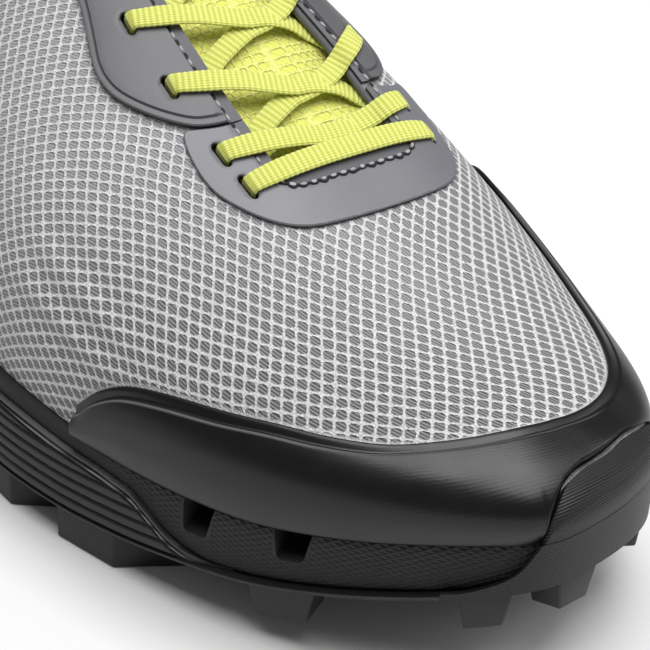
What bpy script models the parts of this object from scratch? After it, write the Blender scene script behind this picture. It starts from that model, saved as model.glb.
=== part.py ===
"""Obstacle course racing shoe for the right foot. Metres, +X to the toe, +Y to the medial side, +Z up."""
import bpy
import bmesh
import numpy as np
from mathutils import Matrix, Vector
from mathutils.geometry import delaunay_2d_cdt

# Driving sizes in millimetres
MM = 0.001
LENGTH = 292.0
GAP = 0.3
LUG = 7.5
PLATE = 2.2
INSET = 3.0
BULGE = 2.0
WALL = 2.0
COLLAR_WALL = 2.8
COLLAR_END = 98.0
TOE_POLE = 262.0
HEEL_POLE = 48.0
POLE_BLEND = 9.0
INSOLE = 4.0
LACE_WIDTH = 4.5
LACE_THICK = 1.1
GIRTH = 115.0
THROAT_FRONT = 214.6
THROAT_TOP = 113.0
THROAT_LATERAL = 0.113
THROAT_MEDIAL = 0.092
STAY_LOW = 0.3
FRONT_STAY_HIGH = 1.3
SIDE_STAY_HIGH = 2.0
TONGUE_THICK = 2.6
SLOT_LENGTH = 5.2
SLOT_WIDTH = 2.0

# Half outlines of the sole, one row every 15 degrees from heel to toe
LATERAL_Y = [-4, -24, -37, -43.5, -45.5, -48, -54, -63, -54.6, -40.9, -24.1, -8.2, 4]
MEDIAL_Y = [-4, 16, 29, 34, 32.5, 28, 27, 35.5, 43.5, 43.5, 38.4, 24.6, 4]

# Height of the tread over the floor: x, z
SPRING = [(0, 7), (12, 3), (28, 0.3), (38, 0), (84, 0), (105, 1.5), (130, 2), (158, 0), (212, 0), (225, 0.9),
          (240, 3.2), (252, 5.3), (265, 9), (276.5, 12.9), (284, 15.7), (292, 19.5)]

# Height of the sole's rim over the tread: x, z
RIM = [(0, 35), (40, 34.5), (90, 33), (140, 32.5), (190, 31.8), (220, 27.7), (240, 24.9), (250, 23.8), (265, 22.6),
       (280, 21.5), (292, 19.8)]

# Ridge of the upper over the instep: x, y, z
RIDGE = [(0, -2, 130.8), (40, -2, 128.3), (80, -2, 121.8), (115, -1.6, 109.3), (130, -0.9, 104.8),
         (145, -0.3, 100.6), (160, 0.2, 96.2), (175, 1.1, 90.8), (190, 2, 84.6), (205, 2.8, 78.1), (220, 3.6, 71.6),
         (240, 4.9, 63.6), (262, 6.3, 56), (280, 6.3, 51.3)]

# Fullness of the upper's sections: x, lateral power, medial power
FULLNESS = [(0, 0.45, 0.45), (40, 0.6, 0.6), (90, 0.8, 0.75), (150, 0.85, 0.65), (200, 0.85, 0.51), (292, 0.85, 0.51)]

# Top line of the collar: x, z
COLLAR = [(0, 103.8), (15, 102.3), (35, 94.8), (60, 86.8), (80, 86.3), (95, 91.8), (104, 98.8), (110, 105.3),
          (113, 108.8)]

# Top edge of the toe bumper: outline angle in degrees, height on the section
BUMPER_TOP = [(118.4, 0.1), (120.3, 0.19), (122.8, 0.263), (125.9, 0.311), (131.7, 0.375), (136.8, 0.431),
              (141.0, 0.463), (146.6, 0.509), (152.3, 0.579), (160.4, 0.653), (168, 0.72), (180, 0.774), (191.5, 0.731),
              (203.5, 0.65), (213.4, 0.58), (222, 0.54), (230, 0.53), (236, 0.54), (241, 0.50), (245.5, 0.36),
              (248.5, 0.12)]

# Swelling of the bumper's body, thinned on the medial side: outline angle in degrees, share
BUMPER_THICKNESS = [(118, 1), (189, 1), (203, 0.16), (249, 0.16)]

# Toe wrap of the outsole: outline angle in degrees, top as a share of the sole's side
TOE_WRAP = [(158, 0.15), (161, 0.21), (165.5, 0.315), (169.7, 0.495), (172.5, 0.775), (174.4, 1.03), (175.8, 1.42),
            (177.4, 1.58), (179.3, 1.71), (181, 1.8), (186, 1.9), (194, 1.9), (200, 1.75), (205, 1.45), (208.5, 1.05),
            (211, 0.8), (214, 0.5), (218, 0.22)]

# Ribbed side of the outsole: x, top as a share of the sole's side
SIDE_RUBBER = [(150, 0.18), (165, 0.5), (180, 0.8), (205, 0.87), (219, 0.86), (226, 0.81), (229, 0.77), (233, 0.6),
               (238, 0.36), (244.8, 0.19), (250, 0.13)]
WRAP_RIM = 1.01
WRAP_STEP = 0.5
RIB_COUNT = 5
RIB_HEIGHT = 0.7

# Drain windows in the lateral midsole: x at top, x at top, x at bottom, x at bottom
WINDOWS = [(240.0, 246.9, 240.3, 244.8), (256.7, 263.8, 257.8, 262.1)]
WINDOW_SILL = 0.54
WINDOW_DEPTH = 8.0

# Top of the tongue under the form: x, depth
TONGUE_DEPTH = [(90, 3.6), (102, 5.2), (118, 5.2), (136, 3.5), (226, 3.4)]

# Eyelet rows: x, lateral and medial distance from the ridge as a share of the section
EYELETS = [(213.8, 0.188, 0.19), (206.2, 0.191, 0.182), (190.3, 0.198, 0.196), (174.8, 0.202, 0.198),
           (158.8, 0.2, 0.196), (142.8, 0.196, 0.192), (126.8, 0.19, 0.188)]

# Front eyestay: outer edge as x, signed share from the ridge
FRONT_STAY = [(198.6, -0.226), (202.0, -0.243), (208.3, -0.255), (212.7, -0.251), (217.8, -0.224), (221.0, -0.2),
              (223.6, -0.172), (225.7, -0.132), (226.8, -0.076), (227.3, 0.0), (227.0, 0.05), (226.2, 0.115),
              (224.6, 0.165), (222.4, 0.205), (219.2, 0.238), (213.0, 0.262), (206.0, 0.268), (200.3, 0.262)]

# Joint between front and side eyestays, from outer edge to throat: x, share
STAY_JOINT = [(198.6, 0.226), (199.6, 0.205), (201.0, 0.17), (201.6, 0.144), (202.0, 0.113)]

# Outer edge of the side eyestays: x, share
SIDE_STAY = [(198.6, 0.226), (194.7, 0.253), (189.2, 0.289), (184.9, 0.307), (179.4, 0.311), (172.9, 0.29),
             (165.0, 0.268), (154.0, 0.258), (142.0, 0.256), (130.0, 0.256), (121.0, 0.25), (117.0, 0.225),
             (115.6, 0.19), (115.2, 0.15)]

# Edge lugs: outline angle in degrees, length, depth
EDGE_LUGS = [(12, 13, 11), (30, 14, 12), (47, 14, 12), (63, 14, 12), (140.6, 13.5, 11), (164.6, 10, 9), (184, 10, 9),
             (204, 10, 9), (221, 13, 11), (297, 14, 11), (313, 14, 12), (330, 14, 12), (348, 13, 11)]

# Leaning lugs at the ball, flat underneath: outline angle in degrees, length, depth, shift of the inner side
LEANING_LUGS = [(97, 13, 12, 9), (108.5, 13, 12, 11), (119.55, 14.7, 12, 14), (236, 14, 12, -11), (249, 13, 12, -10),
                (262, 12, 11, -8)]

# Inner lugs: x, y, length, width
INNER_LUGS = [(38, -5, 13, 15), (64, -6, 13, 15), (88, -8, 12, 14), (163, -16, 12, 14), (184, -28, 12, 13),
              (186, 3, 12, 13), (207, -18, 12, 14), (209, 12, 12, 13), (230, -6, 12, 14), (252, 2, 12, 14),
              (269, 5, 9, 12)]
LUG_CHAMFER = 1.5
LUG_FACE_INSET = 0.5
LUG_FACE_DRAFT = 0.3


def table(rows, column=1):
    """Monotone cubic through the rows of a table, held at its ends."""
    xs = np.array([row[0] for row in rows], float)
    vs = np.array([row[column] for row in rows], float)
    width = np.diff(xs)
    rise = np.diff(vs) / width
    slope = np.zeros_like(vs)
    same = rise[:-1] * rise[1:] > 0
    before = 2 * width[1:] + width[:-1]
    after = width[1:] + 2 * width[:-1]
    safe_low = np.where(same, rise[:-1], 1)
    safe_high = np.where(same, rise[1:], 1)
    slope[1:-1] = np.where(same, (before + after) / (before / safe_low + after / safe_high), 0)
    slope[0] = rise[0]
    slope[-1] = rise[-1]

    def curve(x):
        x = np.asarray(x, float)
        i = np.clip(np.searchsorted(xs, x) - 1, 0, len(width) - 1)
        s = np.clip((x - xs[i]) / width[i], 0, 1)
        low = (1 + 2 * s) * (1 - s) ** 2 * vs[i] + s * (1 - s) ** 2 * width[i] * slope[i]
        high = s * s * (3 - 2 * s) * vs[i + 1] + s * s * (s - 1) * width[i] * slope[i + 1]
        return low + high

    return curve


def periodic(values):
    """Closed cubic spline through evenly spaced values."""
    values = np.array(values, float)
    count = len(values)
    one = np.eye(count)
    matrix = 4 * one + np.roll(one, 1, 0) + np.roll(one, -1, 0)
    bend = np.linalg.solve(matrix, 6 * (np.roll(values, -1) - 2 * values + np.roll(values, 1)))

    def curve(angle):
        s = np.mod(np.asarray(angle, float), 2 * np.pi) / (2 * np.pi) * count
        i = np.floor(s).astype(int) % count
        j = (i + 1) % count
        b = s - np.floor(s)
        a = 1 - b
        return a * values[i] + b * values[j] + ((a**3 - a) * bend[i] + (b**3 - b) * bend[j]) / 6

    return curve


outline_y = periodic(LATERAL_Y + MEDIAL_Y[-2:0:-1])
spring = table(SPRING)
rim = table(RIM)
ridge_y = table(RIDGE, 1)
ridge_z = table(RIDGE, 2)
lateral_power = table(FULLNESS, 1)
medial_power = table(FULLNESS, 2)
collar_z = table(COLLAR)


def deck(x):
    """Height of the sole's top over the floor."""
    x = np.clip(x, 0, LENGTH)
    return spring(x) + rim(x)


def tread(x):
    """Height of the outsole plate's underside over the floor."""
    return spring(np.clip(x, 0, LENGTH)) + LUG


def angle_at(x):
    return np.arccos(np.clip(1 - 2 * np.asarray(x, float) / LENGTH, -1, 1))


def outline(angle, inset):
    """Plan point of the sole's edge, moved inwards. Angle 0 is the heel, 180 degrees the toe."""
    angle = np.asarray(angle, float)
    step = 1e-4

    def point(a):
        return np.stack([LENGTH / 2 * (1 - np.cos(a)), outline_y(a)], -1)

    way = point(angle + step) - point(angle - step)
    way = way / np.linalg.norm(way, axis=-1, keepdims=True)
    inside = np.stack([-way[..., 1], way[..., 0]], -1)
    return point(angle) + inside * np.broadcast_to(inset, angle.shape)[..., None]


def form(angle, t):
    """Outside of the upper, from the sole's edge (t 0) up to the ridge (t 1)."""
    angle = np.asarray(angle, float)
    t = np.asarray(t, float)
    x_edge = LENGTH / 2 * (1 - np.cos(angle))
    foot = outline(angle, INSET)
    z_foot = deck(foot[..., 0])
    x_ridge = x_edge - POLE_BLEND * np.log1p(np.exp((x_edge - TOE_POLE) / POLE_BLEND))
    x_ridge = x_ridge + POLE_BLEND * np.log1p(np.exp((HEEL_POLE - x_ridge) / POLE_BLEND))
    y_ridge = ridge_y(x_ridge)
    z_ridge = ridge_z(x_ridge)
    slope = ridge_z(x_ridge + 0.5) - ridge_z(x_ridge - 0.5)
    medial = 0.5 - 0.5 * np.tanh(np.sin(angle) / 0.3)
    power = lateral_power(x_edge) * (1 - medial) + medial_power(x_edge) * medial
    reach_x = foot[..., 0] - x_ridge
    reach_y = foot[..., 1] - y_ridge
    swell = BULGE / np.hypot(reach_x, reach_y) * np.sin(np.pi * np.clip(t / 0.7, 0, 1)) ** 2
    out = np.maximum(np.cos(np.pi / 2 * t), 0) ** power + swell
    rise = np.sin(np.pi / 2 * t)
    x = x_ridge + reach_x * out
    y = y_ridge + reach_y * out
    z = z_foot + (z_ridge - z_foot) * rise + slope * (x - x_ridge) * rise**2
    return np.stack([x, y, z], -1)


def normal(angle, t):
    """Outward direction of the form."""
    step = 0.004
    t = np.clip(t, step, 0.985)
    along = form(angle + step, t) - form(angle - step, t)
    up = form(angle, t + step) - form(angle, t - step)
    out = np.cross(along, up)
    return out / np.linalg.norm(out, axis=-1, keepdims=True)


def raised(angle, t, offset):
    offset = np.broadcast_to(offset, np.shape(angle))
    return form(angle, t) + normal(angle, t) * offset[..., None]


def skin(x, share, offset):
    """Point over the form at outline x and signed share from the ridge, lateral negative."""
    x = np.asarray(x, float)
    share = np.asarray(share, float)
    angle = angle_at(x)
    t = 1 - np.abs(share)
    point = form(np.where(share > 0, 2 * np.pi - angle, angle), t)
    blend = np.clip(0.5 + share / 0.06, 0, 1)[..., None]
    out = normal(angle, t) * (1 - blend) + normal(2 * np.pi - angle, t) * blend
    out = out / np.linalg.norm(out, axis=-1, keepdims=True)
    return point + out * np.broadcast_to(offset, x.shape)[..., None]


def add_object(name, points, faces):
    """Mesh object from millimetre points, with outward faces."""
    mesh = bpy.data.meshes.new(name)
    build = bmesh.new()
    corners = [build.verts.new(Vector(p) * MM) for p in np.asarray(points, float)]
    for face in faces:
        build.faces.new([corners[i] for i in face])
    bmesh.ops.triangulate(build, faces=build.faces[:])
    bmesh.ops.recalc_face_normals(build, faces=build.faces[:])
    build.to_mesh(mesh)
    build.free()
    item = bpy.data.objects.new(name, mesh)
    bpy.context.scene.collection.objects.link(item)
    return item


def thick(name, outer, inner, faces):
    """Closed solid between two surfaces with the same faces."""
    count = len(outer)
    sides = {}
    for face in faces:
        for a, b in zip(face, face[1:] + face[:1]):
            if (b, a) in sides:
                del sides[(b, a)]
            else:
                sides[(a, b)] = True
    walls = [(b, a, a + count, b + count) for a, b in sides]
    backs = [tuple(i + count for i in reversed(face)) for face in faces]
    return add_object(name, np.concatenate([outer, inner]), list(faces) + backs + walls)


def grid_faces(columns, rows):
    faces = []
    for i in range(columns - 1):
        for j in range(rows - 1):
            a = i * rows + j
            faces.append((a, a + rows, a + rows + 1, a + 1))
    return faces


def strip(name, outer, inner):
    """Closed solid between two grids of points."""
    faces = grid_faces(outer.shape[0], outer.shape[1])
    return thick(name, outer.reshape(-1, 3), inner.reshape(-1, 3), faces)


def slab(name, rings):
    """Closed solid from rings round the sole, each mirrored about its heel and toe points."""
    count = len(rings[0])
    half = count // 2
    faces = []
    for level in range(len(rings) - 1):
        for i in range(count):
            j = (i + 1) % count
            low = level * count
            faces.append((low + i, low + j, low + count + j, low + count + i))
    for base in (0, (len(rings) - 1) * count):
        for i in range(half):
            ladder = [base + i, base + i + 1, base + (count - i - 1) % count, base + (count - i) % count]
            faces.append(tuple(dict.fromkeys(ladder)))
    return add_object(name, np.concatenate(rings), faces)


def boolean(item, other, operation):
    other.hide_render = True
    other.display_type = "WIRE"
    step = item.modifiers.new(other.name, "BOOLEAN")
    step.operation = operation
    step.solver = "EXACT"
    step.object = other


def inside(points, loop):
    """Which points lie inside a closed loop."""
    x, y = points[:, 0], points[:, 1]
    hit = np.zeros(len(points), bool)
    for (x1, y1), (x2, y2) in zip(loop, np.roll(loop, -1, 0)):
        if y1 == y2:
            continue
        crosses = ((y1 > y) != (y2 > y)) & (x < (x2 - x1) * (y - y1) / (y2 - y1) + x1)
        hit ^= crosses
    return hit


def edge_distance(points, loop):
    best = np.full(len(points), np.inf)
    for a, b in zip(loop, np.roll(loop, -1, 0)):
        way = b - a
        s = np.clip((points - a) @ way / (way @ way), 0, 1)
        best = np.minimum(best, np.linalg.norm(points - a - s[:, None] * way, axis=1))
    return best


def resampled(loop, spacing):
    """Points along a closed loop at most one spacing apart."""
    out = []
    for a, b in zip(loop, np.roll(loop, -1, 0)):
        pieces = max(1, int(np.ceil(np.linalg.norm(b - a) / spacing)))
        out += [a + (b - a) * k / pieces for k in range(pieces)]
    return np.array(out)


def sheet(loop, holes, spacing):
    """Triangles that fill a loop with holes, in x and girth."""
    edge = resampled(loop, spacing)
    low = edge.min(0)
    high = edge.max(0)
    across = np.arange(low[0] + 0.37 * spacing, high[0], spacing)
    up = np.arange(low[1] + 0.41 * spacing, high[1], spacing * 0.866)
    seeds = np.array([(x + spacing / 2 * (k % 2), y) for k, y in enumerate(up) for x in across])
    keep = inside(seeds, edge) & (edge_distance(seeds, edge) > 0.55 * spacing)
    for hole in holes:
        keep &= ~inside(seeds, hole) & (edge_distance(seeds, hole) > 0.4 * spacing)
    points = [edge] + list(holes)
    links = []
    start = 0
    for ring in points:
        count = len(ring)
        links += [(start + k, start + (k + 1) % count) for k in range(count)]
        start += count
    flat = np.concatenate(points + [seeds[keep]])
    made = delaunay_2d_cdt([Vector(p) for p in flat], links, [], 0, 1e-5)
    where = np.array([tuple(p) for p in made[0]])
    faces = []
    for face in made[2]:
        middle = where[list(face)].mean(0)[None]
        if inside(middle, edge)[0] and not any(inside(middle, hole)[0] for hole in holes):
            faces.append(tuple(face))
    return where, faces


def slot_loop(x, share):
    """Rounded slot round an eyelet, in x and girth."""
    turn = np.linspace(-np.pi / 2, np.pi / 2, 3)
    radius = SLOT_WIDTH / 2
    straight = SLOT_LENGTH / 2 - radius
    ends = [(straight + radius * np.cos(a), radius * np.sin(a)) for a in turn]
    ends += [(-p, -q) for p, q in ends]
    return np.array([(x + p, share * GIRTH + q) for p, q in ends])


def eyestay(name, loop, eyelets, high):
    loop = np.array([(x, share * GIRTH) for x, share in loop])
    holes = [slot_loop(x, share) for x, share in eyelets]
    flat, faces = sheet(loop, holes, 6.5)
    top = skin(flat[:, 0], flat[:, 1] / GIRTH, high)
    base = skin(flat[:, 0], flat[:, 1] / GIRTH, STAY_LOW)
    return thick(name, top, base, faces)


# Columns round the shoe, heel to toe on the lateral side and back on the medial side
bands = [(0, THROAT_TOP, 11), (THROAT_TOP, THROAT_FRONT, 11), (THROAT_FRONT, LENGTH, 13)]
half_angles = [0.0]
for start_x, end_x, pieces in bands:
    half_angles += list(np.linspace(angle_at(start_x), angle_at(end_x), pieces + 1)[1:])
half_angles = np.array(half_angles)
HALF = len(half_angles) - 1
ANGLES = np.concatenate([half_angles, 2 * np.pi - half_angles[-2:0:-1]])
COLUMNS = len(ANGLES)
FIRST_VAMP = 22


def ring(inset, level):
    """Ring of points at one inset from the sole's edge, with height as a function of x."""
    plan = outline(ANGLES, inset)
    return np.column_stack([plan, level(plan[:, 0])])


for leftover in list(bpy.data.objects):
    bpy.data.objects.remove(leftover)

# Outsole plate
outsole = slab("outsole", [
    ring(1.6, tread),
    ring(0.2, lambda x: tread(x) + 1.0),
    ring(0.2, lambda x: tread(x) + PLATE),
])


def side_point(angle, share, inset):
    """Point on the sole's side at a share of its height."""
    plan = outline(angle, inset)
    low = tread(plan[..., 0])
    z = low + share * (deck(plan[..., 0]) - low)
    return np.concatenate([plan, z[..., None]], -1)


def wrap_column(angle, top):
    """Outer and inner points of the toe wrap at one outline angle."""
    plan = outline(angle, 0.0)
    height = float(deck(plan[0]) - tread(plan[0]))
    free = (PLATE + GAP) / height
    side_end = min(max(top, free + 0.02), WRAP_RIM)
    shares = [1.2 / height, (PLATE - 0.3) / height] + list(np.linspace(free, side_end, 3))
    outer = [side_point(angle, share, -1.0) for share in shares]
    inner = [side_point(angle, share, 1.2 if k < 2 else 0.4) for k, share in enumerate(shares)]
    for k in (1, 2, 3):
        if top > WRAP_RIM:
            t = np.array((top - 1) * WRAP_STEP * k / 3)
            outer.append(raised(angle, t, 3.9))
            inner.append(raised(angle, t, GAP + 0.1))
        else:
            outer.append(side_point(angle, side_end + 0.004 * k, -1.0))
            inner.append(side_point(angle, side_end + 0.004 * k, 0.4))
    return outer, inner


# Toe wrap, with a column where its top edge leaves the midsole
wrap_top = table(TOE_WRAP)
fine = np.linspace(TOE_WRAP[0][0], TOE_WRAP[-1][0], 6201)
leaving = fine[1:][(wrap_top(fine[1:]) > WRAP_RIM) != (wrap_top(fine[:-1]) > WRAP_RIM)]
plain = np.concatenate([np.linspace(158, 170, 4), np.linspace(172, 180, 5), np.linspace(184, 205, 5),
                        np.linspace(208.5, 218, 4)])
plain = plain[np.abs(plain[:, None] - leaving[None]).min(1) > 0.8]
wrap_degrees = np.sort(np.concatenate([plain, leaving]))
wrap_tops = np.where(np.abs(wrap_degrees[:, None] - leaving[None]).min(1) < 1e-6, WRAP_RIM, wrap_top(wrap_degrees))
wrap_pairs = [wrap_column(np.array(np.radians(d)), float(top)) for d, top in zip(wrap_degrees, wrap_tops)]
toe_wrap = strip("toe_wrap", np.array([p[0] for p in wrap_pairs]), np.array([p[1] for p in wrap_pairs]))

# Ribbed rubber on the lateral side
side_top = table(SIDE_RUBBER)
side_columns = np.linspace(SIDE_RUBBER[0][0], SIDE_RUBBER[-1][0], 14)
rib_shares = []
rib_insets = []
for rib in range(RIB_COUNT):
    rib_shares += [(rib + 0.2) / RIB_COUNT, (rib + 0.6) / RIB_COUNT]
    rib_insets += [-0.5, -0.5 - RIB_HEIGHT]
rib_shares.append(1.0)
rib_insets.append(-0.5)
side_outer, side_inner = [], []
for x in side_columns:
    angle = np.array(angle_at(x))
    height = float(deck(x) - tread(x))
    free = (PLATE + GAP) / height
    top = max(float(side_top(x)), free + 0.03)
    shares = [1.2 / height, (PLATE - 0.3) / height] + [free + (top - free) * s for s in rib_shares]
    insets = [-0.5, -0.5] + rib_insets
    side_outer.append([side_point(angle, s, i) for s, i in zip(shares, insets)])
    side_inner.append([side_point(angle, s, 1.2 if k < 2 else 0.4) for k, s in enumerate(shares)])
side_rubber = strip("side_rubber", np.array(side_outer), np.array(side_inner))


def lug_block(centre, way, length, width, outer_draft):
    """Corners of a chamfered lug, its root inside the plate."""
    way = np.asarray(way, float) / np.linalg.norm(way)
    side = np.array([-way[1], way[0]])
    points = []
    for trim, outer_trim, level in ((0.0, 0.0, 1.2), (LUG_CHAMFER, outer_draft, -LUG)):
        for a, b in ((-1, -1), (1, -1), (1, 1), (-1, 1)):
            depth = width / 2 - (outer_trim if b < 0 else trim)
            plan = centre + way * a * (length / 2 - trim) + side * b * depth
            points.append((plan[0], plan[1], float(tread(plan[0])) + level))
    return points


def leaning_block(centre, way, length, width, lean):
    """Corners of a lug with upright ends and a flat foot, its inner side shifted along the sole's edge."""
    way = np.asarray(way, float) / np.linalg.norm(way)
    side = np.array([-way[1], way[0]])
    points = []
    for trim, foot in ((0.0, False), (LUG_CHAMFER, True)):
        for a, b in ((-1, -1), (1, -1), (1, 1), (-1, 1)):
            depth = b * width / 2 - (trim if b > 0 else 0.0)
            plan = centre + way * (a * length / 2 + lean * (depth / width + 0.5)) + side * depth
            level = float(tread(centre[0])) - LUG if foot else float(tread(plan[0])) + 1.2
            points.append((plan[0], plan[1], level))
    return points


def edge_place(degrees, width):
    """Centre of a lug on the sole's edge and the way the edge runs there."""
    angle = np.radians(degrees)
    way = outline(np.array(angle + 0.01), 5.0) - outline(np.array(angle - 0.01), 5.0)
    return outline(np.array(angle), LUG_FACE_INSET + width / 2), way


LUG_FACES = [(0, 1, 2, 3), (4, 5, 6, 7), (0, 1, 5, 4), (1, 2, 6, 5), (2, 3, 7, 6), (3, 0, 4, 7)]
lug_blocks = [lug_block(*edge_place(degrees, width), length, width, LUG_FACE_DRAFT)
              for degrees, length, width in EDGE_LUGS]
lug_blocks += [leaning_block(*edge_place(degrees, width), length, width, lean)
               for degrees, length, width, lean in LEANING_LUGS]
lug_blocks += [lug_block(np.array([x, y]), (1.0, 0.0), length, width, LUG_CHAMFER)
               for x, y, length, width in INNER_LUGS]
lug_points, lug_faces = [], []
for block in lug_blocks:
    lug_faces += [tuple(i + len(lug_points) for i in face) for face in LUG_FACES]
    lug_points += block
lugs = add_object("lugs", lug_points, lug_faces)
for joined in (toe_wrap, side_rubber, lugs):
    boolean(outsole, joined, "UNION")

# Midsole with two drain windows
midsole = slab("midsole", [
    ring(1.2, lambda x: tread(x) + PLATE + GAP),
    ring(0.8, lambda x: 0.5 * (tread(x) + PLATE + deck(x))),
    ring(1.0, lambda x: deck(x) - GAP),
])
for number, (top_a, top_b, low_a, low_b) in enumerate(WINDOWS):
    corners = []
    for inset in (-4.0, WINDOW_DEPTH):
        for x, share in ((top_a, 1.15), (top_b, 1.15), (low_b, WINDOW_SILL), (low_a, WINDOW_SILL)):
            corners.append(side_point(np.array(angle_at(x)), share, inset))
    cutter = add_object(f"window_cutter_{number}", corners, LUG_FACES)
    boolean(midsole, cutter, "DIFFERENCE")

# Insole
insole = slab("insole", [
    ring(INSET + WALL + 0.9, lambda x: deck(x) + 0.1),
    ring(INSET + WALL + 0.9, lambda x: deck(x) + INSOLE - 0.8),
    ring(INSET + WALL + 1.9, lambda x: deck(x) + INSOLE),
])


def collar_t(angle):
    """Section height at which the form reaches the collar line."""
    goal = collar_z(LENGTH / 2 * (1 - np.cos(angle)))
    low, high = 0.0, 1.0
    for _ in range(40):
        middle = (low + high) / 2
        if form(np.array(angle), np.array(middle))[2] < goal:
            low = middle
        else:
            high = middle
    return low


# Upper: one shell, open at collar and throat and underneath
SIDE_ROWS = 7
VAMP_ROWS = 3
throat_share = {True: THROAT_LATERAL + 0.003, False: THROAT_MEDIAL + 0.003}
edge_t = []
for column, angle in enumerate(ANGLES):
    lateral = column <= HALF
    open_t = 1 - throat_share[lateral]
    in_collar = half_angles[min(column, COLUMNS - column)] < angle_at(THROAT_TOP) - 1e-6
    edge_t.append(min(open_t, collar_t(angle)) if in_collar else open_t)
edge_t = np.array(edge_t)
toe_mean = 0.5 * (throat_share[True] + throat_share[False])
for step in range(-4, 5):
    share = toe_mean + (throat_share[step <= 0] - toe_mean) * abs(step) / 4
    edge_t[HALF + step] = 1 - share
outer, inner, upper_faces = [], [], []
index = {}


def upper_vertex(column, row, angle, t, wall, twin=None):
    point = form(np.array(angle), np.array(t))
    out = normal(np.array(angle), np.array(t))
    if twin is not None:
        out = out + normal(np.array(twin), np.array(t))
        out = out / np.linalg.norm(out)
    back = point - out * wall
    if row == 0:
        back[2] = deck(back[0])
    index[(column, row)] = len(outer)
    outer.append(point)
    inner.append(back)


for column, angle in enumerate(ANGLES):
    x_edge = LENGTH / 2 * (1 - np.cos(angle))
    padded = COLLAR_WALL if x_edge < COLLAR_END else WALL
    for row in range(SIDE_ROWS + 1):
        share = row / SIDE_ROWS
        wall = WALL + (padded - WALL) * np.clip((share - 0.5) / 0.2, 0, 1)
        upper_vertex(column, row, angle, edge_t[column] * share, wall)
for column in range(FIRST_VAMP, COLUMNS - FIRST_VAMP + 1):
    angle = ANGLES[column]
    for row in range(1, VAMP_ROWS + 1):
        t = edge_t[column] + (1 - edge_t[column]) * row / VAMP_ROWS
        if row < VAMP_ROWS:
            upper_vertex(column, SIDE_ROWS + row, angle, t, WALL)
        elif column <= HALF:
            upper_vertex(column, SIDE_ROWS + row, angle, 1.0, WALL, 2 * np.pi - angle)
        else:
            index[(column, SIDE_ROWS + row)] = index[(COLUMNS - column, SIDE_ROWS + row)]
for column in range(COLUMNS):
    following = (column + 1) % COLUMNS
    vamp = FIRST_VAMP <= column < COLUMNS - FIRST_VAMP
    for row in range(SIDE_ROWS + (VAMP_ROWS if vamp else 0)):
        quad = (index[(column, row)], index[(following, row)], index[(following, row + 1)], index[(column, row + 1)])
        upper_faces.append(tuple(dict.fromkeys(quad)))
upper = thick("upper", np.array(outer), np.array(inner), upper_faces)

# Eyelet slots through the upper
slot_points, slot_faces = [], []
for x, lateral_share, medial_share in EYELETS:
    for share in (-lateral_share, medial_share):
        loop = slot_loop(x, share)
        base = len(slot_points)
        count = len(loop)
        for offset in (2.0, -4.5):
            slot_points += list(skin(loop[:, 0], loop[:, 1] / GIRTH, offset))
        slot_faces += [tuple(range(base, base + count)), tuple(range(base + count, base + 2 * count))]
        for k in range(count):
            j = (k + 1) % count
            slot_faces.append((base + k, base + j, base + count + j, base + count + k))
slots = add_object("slot_cutter", slot_points, slot_faces)
boolean(upper, slots, "DIFFERENCE")

# Toe bumper with a thin top band and a raised lip
BAND = [(0.0, 1.1), (2.2, 1.2), (2.8, 2.3)]
BODY = [(0.14, 2.9), (0.34, 3.22), (0.56, 3.2), (0.79, 2.87), (1.0, 2.2)]
bumper_top = table(BUMPER_TOP)
bumper_thickness = table(BUMPER_THICKNESS)


def even_columns(first, last, count):
    """Outline angles spaced evenly along the bumper's top edge."""
    degrees = np.linspace(first, last, 400)
    steps = np.hypot(np.diff(degrees) * 1.6, np.diff(bumper_top(degrees)) * 45)
    run = np.concatenate([[0], np.cumsum(steps)])
    return np.interp(np.linspace(0, run[-1], count), run, degrees)


bumper_degrees = np.concatenate([
    even_columns(BUMPER_TOP[0][0], TOE_WRAP[0][0], 13)[:-1],
    wrap_degrees,
    even_columns(TOE_WRAP[-1][0], BUMPER_TOP[-1][0], 11)[1:],
])
bumper_outer, bumper_inner = [], []
for degrees in bumper_degrees:
    angle = np.radians(degrees)
    top_t = float(bumper_top(degrees))
    low_t = 0.0
    wrapped = np.abs(wrap_degrees - degrees).argmin()
    if abs(wrap_degrees[wrapped] - degrees) < 1e-6:
        low_t = max(0.0, (float(wrap_tops[wrapped]) - 1) * WRAP_STEP + 0.04)
    ts = np.linspace(top_t, low_t, 60)
    line = form(np.full(60, angle), ts)
    run = np.concatenate([[0], np.cumsum(np.linalg.norm(np.diff(line, axis=0), axis=1))])
    shrink = min(1.0, run[-1] / 9.0)
    goals = [distance * shrink for distance, _ in BAND]
    heights = [height for _, height in BAND]
    for share, height in BODY:
        goals.append(goals[len(BAND) - 1] + share * (run[-1] - goals[len(BAND) - 1]))
        heights.append(height)
    rows = np.interp(goals, run, ts)
    heights = np.array(heights)
    swollen = 1.0 + (heights - 1.0) * float(bumper_thickness(degrees))
    heights = np.where(heights > 1.0, swollen, heights)
    column_outer = raised(np.full(len(rows), angle), rows, heights)
    column_inner = raised(np.full(len(rows), angle), rows, 2 * GAP + 0.1)
    floor_z = deck(column_outer[-1, 0]) + 0.05
    column_outer[-1, 2] = max(column_outer[-1, 2], floor_z)
    column_inner[-1, 2] = max(column_inner[-1, 2], deck(column_inner[-1, 0]) + 0.05)
    bumper_outer.append(column_outer)
    bumper_inner.append(column_inner)
toe_bumper = strip("toe_bumper", np.array(bumper_outer), np.array(bumper_inner))

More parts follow.
